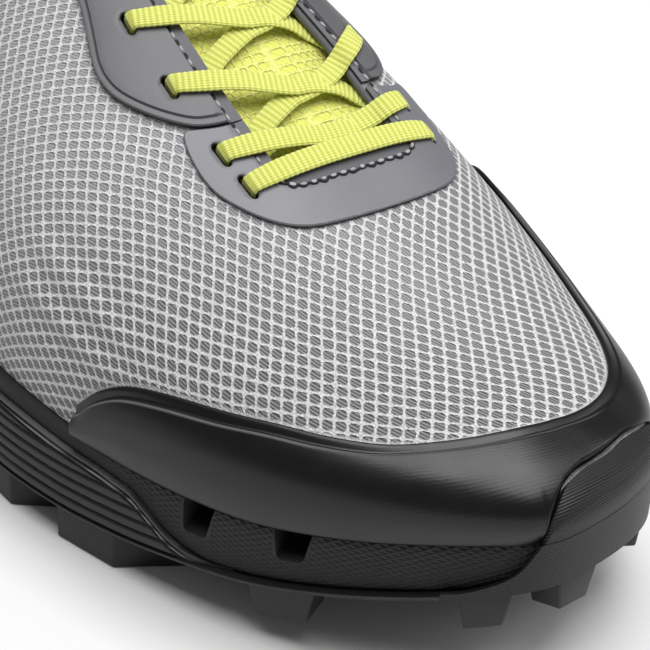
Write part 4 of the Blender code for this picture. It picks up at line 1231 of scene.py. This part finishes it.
for degree in bumper_degrees:
    angle = np.radians(degree)
    top_t = float(bumper_top(degree))
    low = 0.0
    if TOE_WRAP[0][0] < degree < TOE_WRAP[-1][0]:
        low = max(0.0, (float(wrap_top(degree)) - 1) * WRAP_STEP + 0.025)
    ts = np.linspace(top_t, 0.0, BUMPER_SAMPLES)
    run = run_along(form(np.full(BUMPER_SAMPLES, angle), ts))
    shrink = min(1.0, run[-1] / FULL_BAND_HEIGHT)
    end = float(np.interp(-low, -ts, run))
    band = BAND_PROFILE[:, 0] * shrink
    body = np.linspace(band[-1], max(end, band[-1] + 0.5), BODY_ROWS + 1)[1:]
    goals = np.concatenate([band, body])
    heights = np.concatenate([BAND_PROFILE[:, 1], body_height((body - band[-1]) / (run[-1] - band[-1]))])
    if low > 0:
        heights -= 0.8 * (1 - smooth(goals[-1] - goals, 0.0, 0.7))
    thickness = float(bumper_thickness(degree))
    heights = np.where(heights > 1.0, 1.0 + (heights - 1.0) * thickness, heights)
    rows = np.interp(goals, run, ts)
    angles = np.full(len(rows), angle)
    outer = raised(angles, rows, np.maximum(heights, BUMPER_INNER + 0.3))
    inner = raised(angles, rows, BUMPER_INNER)
    outer[-1, 2] = max(outer[-1, 2], deck(outer[-1, 0]) + 0.05)
    inner[-1, 2] = max(inner[-1, 2], deck(inner[-1, 0]) + 0.05)
    if bumper_outer:
        bumper_along += np.linalg.norm(outer[MIDDLE_ROW] - bumper_outer[-1][MIDDLE_ROW])
    # Painted highlight on the lip's rows, faded where the body thins on the medial side
    painted_highlight = np.concatenate([LIP_HIGHLIGHT, np.zeros(BODY_ROWS)]) * smooth(thickness, 0.3, 0.9)
    bumper_outer.append(outer)
    bumper_inner.append(inner)
    bumper_marks.append(np.column_stack([np.full(len(rows), bumper_along), goals, painted_highlight]))
shell_piece("toe_bumper_rand", np.array(bumper_outer), np.array(bumper_inner), "rubber", "toe_bumper",
            {"rand": np.array(bumper_marks)}, crisp=60.0)


# Eyestays

def slot_loop(x, share):
    """Rounded slot round an eyelet, in x and girth."""
    turn = np.linspace(-np.pi / 2, np.pi / 2, 9)
    radius = SLOT_WIDTH / 2
    straight = SLOT_LENGTH / 2 - radius
    ends = [(straight + radius * np.cos(a), radius * np.sin(a)) for a in turn]
    ends += [(-p, -q) for p, q in ends]
    return np.array([(x + p, share * GIRTH + q) for p, q in ends])


def leftwards(line):
    """Direction to the left of a flat line at each of its points."""
    way = unit(np.gradient(line, axis=0))
    return np.column_stack([-way[:, 1], way[:, 0]])


def contour(line, offset, spacing):
    """Points at one distance to both sides of an open line."""
    fine = resampled(line, spacing)
    across = leftwards(fine) * offset
    return np.concatenate([fine + across, fine - across])


STRIP_WIDTH = 3.0
STAY_SPACING = 1.0
EDGE_SPACING = 0.6
RING_SPACING = 0.7
EDGE_ROUND = 0.3
SLOT_ROUND = 0.4
GROOVE_IN = 1.7
GROOVE_DEPTH = 0.5
GROOVE_WIDTH = 0.22
EDGE_RINGS = (0.12, 0.3, 0.55, 0.9)
GROOVE_RINGS = (1.35, 1.55, 1.7, 1.85, 2.05)
STRIP_RINGS = (-0.3, -0.1, 0.05, 0.25)
SLOT_RINGS = (0.15, 0.4)
RING_SLACK = 0.06
ROW_STEP = 0.866
EDGE_CLEAR = 1.0
GROOVE_CLEAR = 0.7
STRIP_CLEAR = 0.6
SLOT_CLEAR = 0.8
STRIP_FOOT = 0.12
STRIP_RISE = 0.15
GROOVE_FADE = 1.2
LEAST_THICK = 0.25
FRONT_TAPE_BACK = 1.5
SIDE_THROAT_X = (115.6, 150.0)
JOINT_GAP = 0.35
MEDIAL_JOINT_GAP = 0.4


def edge_drop(far, radius):
    """Depth of a rounded edge at a distance from it."""
    return radius - np.sqrt(radius**2 - (radius - np.minimum(far, radius)) ** 2)


def eyestay(name, outer_line, throat_line, eyelets, high, grooved, film, node):
    """Film panel from outer edge to throat, with slots, rounded edges and a lower tape at the throat."""
    outer_line = rounded(np.array(outer_line) * (1, GIRTH), 2)
    throat_line = np.array(throat_line) * (1, GIRTH)
    edge = np.concatenate([resampled(outer_line, EDGE_SPACING), resampled(throat_line, EDGE_SPACING)[1:-1]])
    holes = [slot_loop(x, share) for x, share in eyelets]
    closed = np.concatenate([edge, edge[:1]])
    slot_edges = [np.concatenate([hole, hole[:1]]) for hole in holes]

    def on_film(points):
        """Which points lie on the panel and in none of its slots."""
        keep = inside(points, edge)
        for hole in holes:
            keep &= ~inside(points, hole)
        return keep

    rings = [(outer_line, offset) for offset in EDGE_RINGS + (GROOVE_RINGS if grooved else ())]
    rings += [(throat_line, STRIP_WIDTH + offset) for offset in STRIP_RINGS]
    seeds = []
    for line, offset in rings:
        ringed = contour(line, offset, RING_SPACING)
        seeds.append(ringed[np.abs(line_distance(ringed, closed) - offset) < RING_SLACK])
    for hole in holes:
        way = hole - hole.mean(0)
        seeds += [hole.mean(0) + way + unit(way) * grow for grow in SLOT_RINGS]
    seeds = np.concatenate(seeds)
    low = edge.min(0)
    tall = edge.max(0)
    field = np.array([(x + STAY_SPACING / 2 * (k % 2), y)
                      for k, y in enumerate(np.arange(low[1], tall[1], STAY_SPACING * ROW_STEP))
                      for x in np.arange(low[0], tall[0], STAY_SPACING)])
    keep = on_film(field) & (line_distance(field, closed) > EDGE_CLEAR)
    if grooved:
        keep &= np.abs(line_distance(field, outer_line) - GROOVE_IN) > GROOVE_CLEAR
    keep &= np.abs(line_distance(field, throat_line) - STRIP_WIDTH) > STRIP_CLEAR
    for slot_edge in slot_edges:
        keep &= line_distance(field, slot_edge) > SLOT_CLEAR
    links = []
    start = 0
    for loop in [edge] + holes:
        size = len(loop)
        links += [(start + k, start + (k + 1) % size) for k in range(size)]
        start += size
    flat = np.concatenate([edge] + holes + [seeds[on_film(seeds)], field[keep]])
    made = delaunay_2d_cdt([Vector(p) for p in flat], links, [], 0, 1e-4)
    where = np.array([tuple(p) for p in made[0]])
    triangles = np.array([tuple(face) for face in made[2]])
    triangles = triangles[on_film(where[triangles].mean(1))]
    used, triangles = np.unique(triangles, return_inverse=True)
    where = where[used]
    triangles = triangles.reshape(-1, 3)
    centres = where[triangles].mean(1)
    outer_far = line_distance(where, outer_line)
    throat_far = line_distance(where, throat_line)
    slot_far = np.min([line_distance(where, slot_edge) for slot_edge in slot_edges], axis=0)
    height = high - edge_drop(outer_far, EDGE_ROUND)
    past_strip = smooth(throat_far, STRIP_WIDTH - STRIP_FOOT, STRIP_WIDTH + STRIP_RISE)
    height = TAPE_HIGH + (height - TAPE_HIGH) * past_strip
    height -= edge_drop(slot_far, SLOT_ROUND)
    if grooved:
        groove = GROOVE_DEPTH * np.exp(-(((outer_far - GROOVE_IN) / GROOVE_WIDTH) ** 2))
        height -= groove * smooth(throat_far, STRIP_WIDTH, STRIP_WIDTH + GROOVE_FADE)
    height = np.maximum(height, STAY_LOW + LEAST_THICK)
    top = over_form(np.column_stack([where, height]))
    base = over_form(np.column_stack([where, np.full(len(where), STAY_LOW)]))
    points, faces, kinds = thick(top, base, [tuple(face) for face in triangles.tolist()])
    taped = line_distance(centres, throat_line) < STRIP_WIDTH
    front = centres[:, 0] > THROAT_FRONT - FRONT_TAPE_BACK
    # Backs and cut walls take the near-black edge finish: the film's dark base, partly painted shade along
    # its edge
    colours = np.full(len(kinds), 2)
    colours[:len(centres)] = np.where(taped, np.where(front, 3, 1), 0)
    return make(name, points, faces, [film, "strip", "edge", "front_strip"], [node], indices=colours,
                crisp=42.0)


FRONT_THROAT = [(202.4, THROAT_MEDIAL), (208.0, THROAT_MEDIAL), (212.2, THROAT_MEDIAL), (214.2, 0.082),
                (215.0, 0.06), (215.0, -0.075), (214.2, -0.102), (212.2, -THROAT_LATERAL),
                (208.0, -THROAT_LATERAL), (202.0, -THROAT_LATERAL)]
front_outer = [(202.0, -THROAT_LATERAL), (201.6, -0.144), (201.0, -0.17), (199.6, -0.205)] + list(FRONT_STAY)
front_outer += [(202.3, 0.2), (202.4, 0.144), (202.4, THROAT_MEDIAL)]
front_eyelets = [(x, s) for x, lateral, medial in EYELETS[:2] for s in (-lateral, medial)]
eyestay("eyestay_front_film", front_outer, FRONT_THROAT, front_eyelets, FRONT_STAY_HIGH, False, "film_light",
        "eyestay_front")


def side_lines(sign, throat):
    """Outer edge and throat edge of a side eyestay."""
    more_gap = MEDIAL_JOINT_GAP if sign > 0 else 0.0
    joint = [(x - JOINT_GAP - more_gap, sign * share) for x, share in STAY_JOINT]
    joint = joint[1:-1] + [(joint[-1][0], sign * throat)]
    outer_edge = [(x - JOINT_GAP, sign * share) for x, share in SIDE_STAY[1:]]
    inner_edge = [(x, sign * throat) for x in SIDE_THROAT_X] + [joint[-1]]
    return list(reversed(joint)) + outer_edge + inner_edge[:1], inner_edge


for sign, throat, column, label in ((-1, THROAT_LATERAL, 1, "lateral"), (1, THROAT_MEDIAL, 2, "medial")):
    outer_edge, inner_edge = side_lines(sign, throat)
    side_eyelets = [(row[0], sign * row[column]) for row in EYELETS[2:]]
    eyestay(f"eyestay_{label}_film", outer_edge, inner_edge, side_eyelets, SIDE_STAY_HIGH, True, "film",
            f"eyestay_{label}")

# Tongue
TONGUE_START = 90.0
TONGUE_END = 226.0
TONGUE_SHARES = (-0.23, 0.21)
TONGUE_PITCH = 1.9
TONGUE_HALF = 0.22
TONGUE_CLEAR = 60.0
TIP_SHARE = 0.55
TIP_LONG = 9.0
TIP_ROUND = 1.6
SIDE_FALL = 0.9
PUFF_HIGH = 0.35
PUFF_MOST = 0.25
PUFF_PITCH = 15.8
PUFF_FROM = 197.0
tongue_x = np.linspace(TONGUE_START, TONGUE_END, 150)
tongue_share = np.linspace(*TONGUE_SHARES, 61)
round_off = TIP_SHARE + (1 - TIP_SHARE) * np.clip((tongue_x - TONGUE_START) / TIP_LONG, 0, 1) ** 0.5
grid_x, grid_share = np.meshgrid(tongue_x, tongue_share, indexing="ij")
grid_share = grid_share * round_off[:, None]
puff = np.cos(np.pi * np.clip(grid_share / TONGUE_HALF, -1, 1) / 2) ** 2
puff = PUFF_HIGH * np.sin(2 * np.pi * (grid_x - PUFF_FROM) / PUFF_PITCH) * puff
tongue_drop = SIDE_FALL * smooth(np.abs(grid_share / (round_off[:, None] * TONGUE_HALF)), 0.9, 1.05)
tongue_drop = np.maximum(tongue_drop, 1.0 - smooth(grid_x, TONGUE_START, TONGUE_START + TIP_ROUND))
depth = table(TONGUE_DEPTH)(grid_x)
tongue_top = skin(grid_x, grid_share, -depth + np.minimum(puff, PUFF_MOST) - tongue_drop)
tongue_base = skin(grid_x, grid_share, -depth - TONGUE_THICK)
cells = (grid_x / TONGUE_PITCH, grid_share * GIRTH / TONGUE_PITCH, np.full(grid_x.shape, TONGUE_CLEAR))
shell_piece("tongue_cloth", tongue_top, tongue_base, "tongue", "tongue",
            {"cloth": np.stack(cells, -1)})


# Lace: one flat ribbon from the top lateral eyelet down, across the bar and up to the top medial eyelet
RIB_PITCH = 1.15
LACE_SHOWN = 4.6
UNDER = -2.72
LACE_STEP = 0.21
LACE_INWARD = 0.4
SECTION = 14
SECTION_SQUARE = (0.45, 0.6)
RIB_WIDE = 0.012
RIB_TALL = 0.14
PINCH = 0.13
PINCH_REACH = 4.5
MARK_HALF = 2.15


def eyelet(row, side):
    """Place where the lace leaves an eyelet, a little nearer the throat than the slot's middle."""
    x, lateral_share, medial_share = EYELETS[row]
    return x, (-lateral_share if side < 0 else medial_share) * GIRTH - side * LACE_INWARD


def film_top(row):
    return FRONT_STAY_HIGH if row < 2 else SIDE_STAY_HIGH


def link(row, side):
    """Route from an eyelet over the throat and under the far eyestay to the next eyelet towards the toe."""
    x, g = eyelet(row, side)
    far_x, far_g = eyelet(row - 1, -side)
    goal_x = far_x - (3.0 if row == 1 else 4.6 if side < 0 else 2.0)
    goal_g = -side * ((THROAT_MEDIAL if side < 0 else THROAT_LATERAL) - 0.012) * GIRTH
    high = film_top(row) + GAP + LACE_THICK / 2
    route = [(x, g, -1.6), (x, g, 0.2), (x, g - side * 0.1, high - 1.0),
             (x + 0.1, g - side * 0.75, high - 0.12)]
    if side < 0:
        heights = [(0.1, high), (0.3, high), (0.42, high - 0.35), (0.54, 1.1), (0.66, 0.3), (0.8, -0.7),
                   (0.92, -2.0)]
    else:
        heights = [(0.1, high), (0.24, high), (0.33, high - 0.8), (0.42, -0.3), (0.55, -0.55), (0.78, -1.2),
                   (0.92, -2.1)]
    for s, height in heights:
        route.append((x + (goal_x - x) * s, g + (goal_g - g) * s, height))
    route.append((goal_x + 0.3, goal_g, UNDER + 0.1))
    route.append((goal_x + 0.6, goal_g - side * 2.0, UNDER))
    route.append((far_x - 0.1, far_g + side * 2.6, UNDER))
    return route


route = []
for row in range(6, 0, -1):
    route += link(row, -1 if row % 2 == 0 else 1)
x, g = eyelet(0, -1)
far_x, far_g = eyelet(0, 1)
high = film_top(0) + GAP + LACE_THICK / 2
bar = [(x, g, -1.6), (x, g, 0.0), (x, g + 0.1, high - 0.9), (x, g + 0.75, high - 0.12), (x, g + 3.0, high)]
bar += [(x, g * (1 - s) + far_g * s, high) for s in (0.25, 0.5, 0.75)]
bar += [(x, far_g - 3.0, high), (x, far_g - 0.75, high - 0.12), (x, far_g - 0.1, high - 0.9), (x, far_g, 0.0),
        (x, far_g, -1.6)]
route += bar
for row in range(1, 7):
    route += list(reversed(link(row, -1 if row % 2 == 1 else 1)))
route = rounded(np.array(route), 3)
centre = over_form(route)
base_run = run_along(centre)
centre = resampled(centre, LACE_STEP)
rail = over_form(route + (0.5, 0, 0)) - over_form(route - (0.5, 0, 0))
lace_run = np.linspace(0, base_run[-1], len(centre))
rail = np.column_stack([np.interp(lace_run, base_run, rail[:, k]) for k in range(3)])
way = unit(np.gradient(centre, axis=0))
across = unit(rail - (rail * way).sum(1, keepdims=True) * way)
up = np.cross(way, across)
turn = np.linspace(0, 2 * np.pi, SECTION, endpoint=False) + np.pi / SECTION
flat_u = np.sign(np.cos(turn)) * np.abs(np.cos(turn)) ** SECTION_SQUARE[0]
flat_v = np.sign(np.sin(turn)) * np.abs(np.sin(turn)) ** SECTION_SQUARE[1]
rib = np.cos(2 * np.pi * lace_run / RIB_PITCH)
lace_place = np.column_stack([np.interp(lace_run, base_run, route[:, k]) for k in range(2)])
slots = np.array([eyelet(row, side) for row in range(len(EYELETS)) for side in (-1, 1)])
slot_near = np.min([np.linalg.norm(lace_place - slot, axis=1) for slot in slots], axis=0)
pinched = 1 - PINCH * np.exp(-((slot_near / PINCH_REACH) ** 2))
half_wide = LACE_SHOWN / 2 * (1 + RIB_WIDE * rib) * pinched
half_tall = LACE_THICK / 2 * (1 - RIB_TALL + RIB_TALL * rib)
lace_points = (centre[:, None] + across[:, None] * (half_wide[:, None] * flat_u)[..., None]
               + up[:, None] * (half_tall[:, None] * flat_v)[..., None])
lace_faces = swept_faces(len(centre), SECTION)
lace_marks = np.stack(np.broadcast_arrays(lace_run[:, None], flat_u * MARK_HALF, rib[:, None]), -1)
lace_nodes = ["lace_bar"] + [f"lace_cross_{n}" for n in range(1, 7)]
make("lace", lace_points.reshape(-1, 3), lace_faces, ["lace"], lace_nodes,
     {"lace": lace_marks.reshape(-1, 3)}, crisp=70.0)


# Stitching along the throat tape: pitch, ends, way in from the film's edge, lean of a stitch
STITCH_PITCH = 3.25
STITCH_ENDS = (118.0, 210.0)
STITCH_IN = 0.42
STITCH_LEAN = 0.12
BEAD_RINGS = 3
BEAD_TURNS = 8
SCALLOP_PITCH = 2.1
OVERLOCK_RADIUS = 0.27
OVERLOCK_OUT = 0.12
OVERLOCK_LIFT = (0.1, 0.12)


def beads(name, places, ways, sizes, material):
    """Small beads on the form: places in x, girth and height, ways in x and girth, sizes on 3 axes."""
    lift = np.linspace(-np.pi / 2, np.pi / 2, BEAD_RINGS + 2)[1:-1]
    spin = np.linspace(0, 2 * np.pi, BEAD_TURNS, endpoint=False)
    ball = [(np.sin(a), np.cos(a) * np.cos(s), np.cos(a) * np.sin(s)) for a in lift for s in spin]
    first, last = len(ball), len(ball) + 1
    ball = np.array(ball + [(-1, 0, 0), (1, 0, 0)])
    ball_faces = ring_faces(BEAD_RINGS, BEAD_TURNS)
    for k in range(BEAD_TURNS):
        follow = (k + 1) % BEAD_TURNS
        end = first - BEAD_TURNS
        ball_faces += [(first, follow, k), (last, end + k, end + follow)]
    middle = over_form(places)
    ahead = unit(over_form(places + np.column_stack([ways * 0.2, np.zeros(len(ways))])) - middle)
    side = unit(np.cross(over_form(places + (0, 0, 0.2)) - middle, ahead))
    axes = np.stack([ahead, side, np.cross(ahead, side)], 1) * np.array(sizes)[..., None]
    points = middle[:, None] + ball @ axes
    faces = [tuple(i + k * len(ball) for i in face) for k in range(len(middle)) for face in ball_faces]
    return make(name, points.reshape(-1, 3), faces, [material])


def thread(name, places, radius, material):
    """Round thread on the form through places in x, girth and height."""
    sides = 8
    centre = over_form(places)
    way = np.gradient(centre, axis=0)
    across = unit(np.cross(over_form(places + (0, 0, 0.2)) - centre, way))
    above = unit(np.cross(way, across))
    turn = np.linspace(0, 2 * np.pi, sides, endpoint=False)[None, :, None]
    points = centre[:, None] + radius * (across[:, None] * np.cos(turn) + above[:, None] * np.sin(turn))
    return make(name, points.reshape(-1, 3), swept_faces(len(centre), sides), [material])


seams = []
for sign, throat in ((-1, THROAT_LATERAL), (1, THROAT_MEDIAL)):
    girth = sign * (throat * GIRTH + STRIP_WIDTH - STITCH_IN)
    spots = resampled(np.array([(x, girth) for x in STITCH_ENDS]), STITCH_PITCH / 2)
    lean = np.tile((np.cos(STITCH_LEAN), sign * np.sin(STITCH_LEAN)), (len(spots), 1))
    seams.append(np.column_stack([spots, lean]))
# Light thread beads alternate with near-black beads painted as the shade in the needle holes
for name, first, lift, size, material in (("throat_thread", 1, 0.1, (0.8, 0.33, 0.3), "thread"),
                                          ("throat_needle_holes", 0, 0.02, (0.8, 0.42, 0.24), "pin")):
    rows = np.concatenate([seam[first::2] for seam in seams])
    places = np.column_stack([rows[:, :2], np.full(len(rows), TAPE_HIGH + lift)])
    beads(name, places, rows[:, 2:], [size] * len(rows), material)

# Overlocked edge at the bottom of the throat
overlock = rounded(np.array(FRONT_THROAT[2:8]) * (1, GIRTH), 2)
dense = resampled(overlock + leftwards(overlock) * STRIP_WIDTH, 0.1)
high = np.full(len(dense), FRONT_STAY_HIGH)
run = run_along(over_form(np.column_stack([dense, high])))
way = unit(np.gradient(dense, axis=0))
outward = leftwards(dense)
wave = 0.05 + (0.5 + 0.16 * np.sin(1.1 * run)) * np.abs(np.sin(np.pi * run / SCALLOP_PITCH))
# Near-black wavy tube: painted shadow between the loops and along their lower edge
thread("throat_overlock_shadow", np.column_stack([dense + outward * wave[:, None], high + OVERLOCK_LIFT[0]]),
       OVERLOCK_RADIUS, "pin")
spots = np.arange(SCALLOP_PITCH / 2, run[-1], SCALLOP_PITCH)
track = np.column_stack([dense + outward * OVERLOCK_OUT, high + OVERLOCK_LIFT[1], way])
track = np.column_stack([np.interp(spots, run, values) for values in track.T])
loop_sizes = [(0.7 + 0.1 * np.sin(2.3 * s), 0.43 + 0.08 * np.sin(1.7 * s), 0.4) for s in spots]
beads("throat_overlock", track[:, :3], track[:, 3:], loop_sizes, "thread")

# Stage: floor, light, camera
FLOOR_HALF = 4.0
SKY_STRENGTH = 0.18
LIGHT_TARGET = (0.1, 0.0, 0.04)
floor_corners = [(FLOOR_HALF * p, FLOOR_HALF * q, 0) for p, q in ((-1, -1), (1, -1), (1, 1), (-1, 1))]
floor = mesh_object("floor", floor_corners, [(0, 1, 2, 3)])
floor.data.materials.append(Finish("pale_floor", (0.84, 0.835, 0.835), 0.6).material)

world = bpy.data.worlds.new("studio")
world.use_nodes = True
sky = world.node_tree.nodes["Background"]
sky.inputs["Color"].default_value = (1.0, 1.0, 1.0, 1.0)
sky.inputs["Strength"].default_value = SKY_STRENGTH
bpy.context.scene.world = world


def soft_light(name, place, size, power):
    """Square area light turned towards the shoe."""
    lamp = bpy.data.lights.new(name, "AREA")
    lamp.shape = "RECTANGLE"
    lamp.size = size
    lamp.size_y = size
    lamp.energy = power
    item = bpy.data.objects.new(name, lamp)
    item.location = place
    item.rotation_euler = (Vector(LIGHT_TARGET) - Vector(place)).to_track_quat("-Z", "Y").to_euler()
    bpy.context.scene.collection.objects.link(item)


soft_light("key", (0.16, 0.03, 1.4), 1.1, 24.0)
soft_light("rim", (0.42, 1.0, 0.78), 0.5, 3.5)
bpy.context.scene.view_settings.view_transform = "Standard"

# Camera: turn, tilt and roll in degrees, distance in millimetres, focal length and centre in pixels
CAMERA_TURN = 34.761
CAMERA_TILT = 38.162
CAMERA_ROLL = 3.832
CAMERA_DISTANCE = 450.0
FOCAL_PIXELS = 2328.356
CENTRE_PIXELS = (349.826, 299.876)
FRAME_PIXELS = 650.0
TARGET = np.array([225.0, 0.0, 47.8])
a, e, r = np.radians([CAMERA_TURN, CAMERA_TILT, CAMERA_ROLL])
backwards = np.array([np.cos(a) * np.cos(e), -np.sin(a) * np.cos(e), np.sin(e)])
right = np.array([np.sin(a), np.cos(a), 0.0])
upwards = np.cross(backwards, right)
right_rolled = right * np.cos(r) + upwards * np.sin(r)
up_rolled = upwards * np.cos(r) - right * np.sin(r)
eye = (TARGET + SHIFT + backwards * CAMERA_DISTANCE) * MM
lens = bpy.data.cameras.new("camera")
lens.sensor_width = 36.0
lens.lens = FOCAL_PIXELS / FRAME_PIXELS * lens.sensor_width
lens.shift_x = (FRAME_PIXELS / 2 - CENTRE_PIXELS[0]) / FRAME_PIXELS
lens.shift_y = (CENTRE_PIXELS[1] - FRAME_PIXELS / 2) / FRAME_PIXELS
lens.clip_start = 0.02
camera = bpy.data.objects.new("camera", lens)
pose = np.column_stack([right_rolled, up_rolled, backwards, eye])
camera.matrix_world = Matrix(pose.tolist() + [(0, 0, 0, 1)])
bpy.context.scene.collection.objects.link(camera)
bpy.context.scene.camera = camera
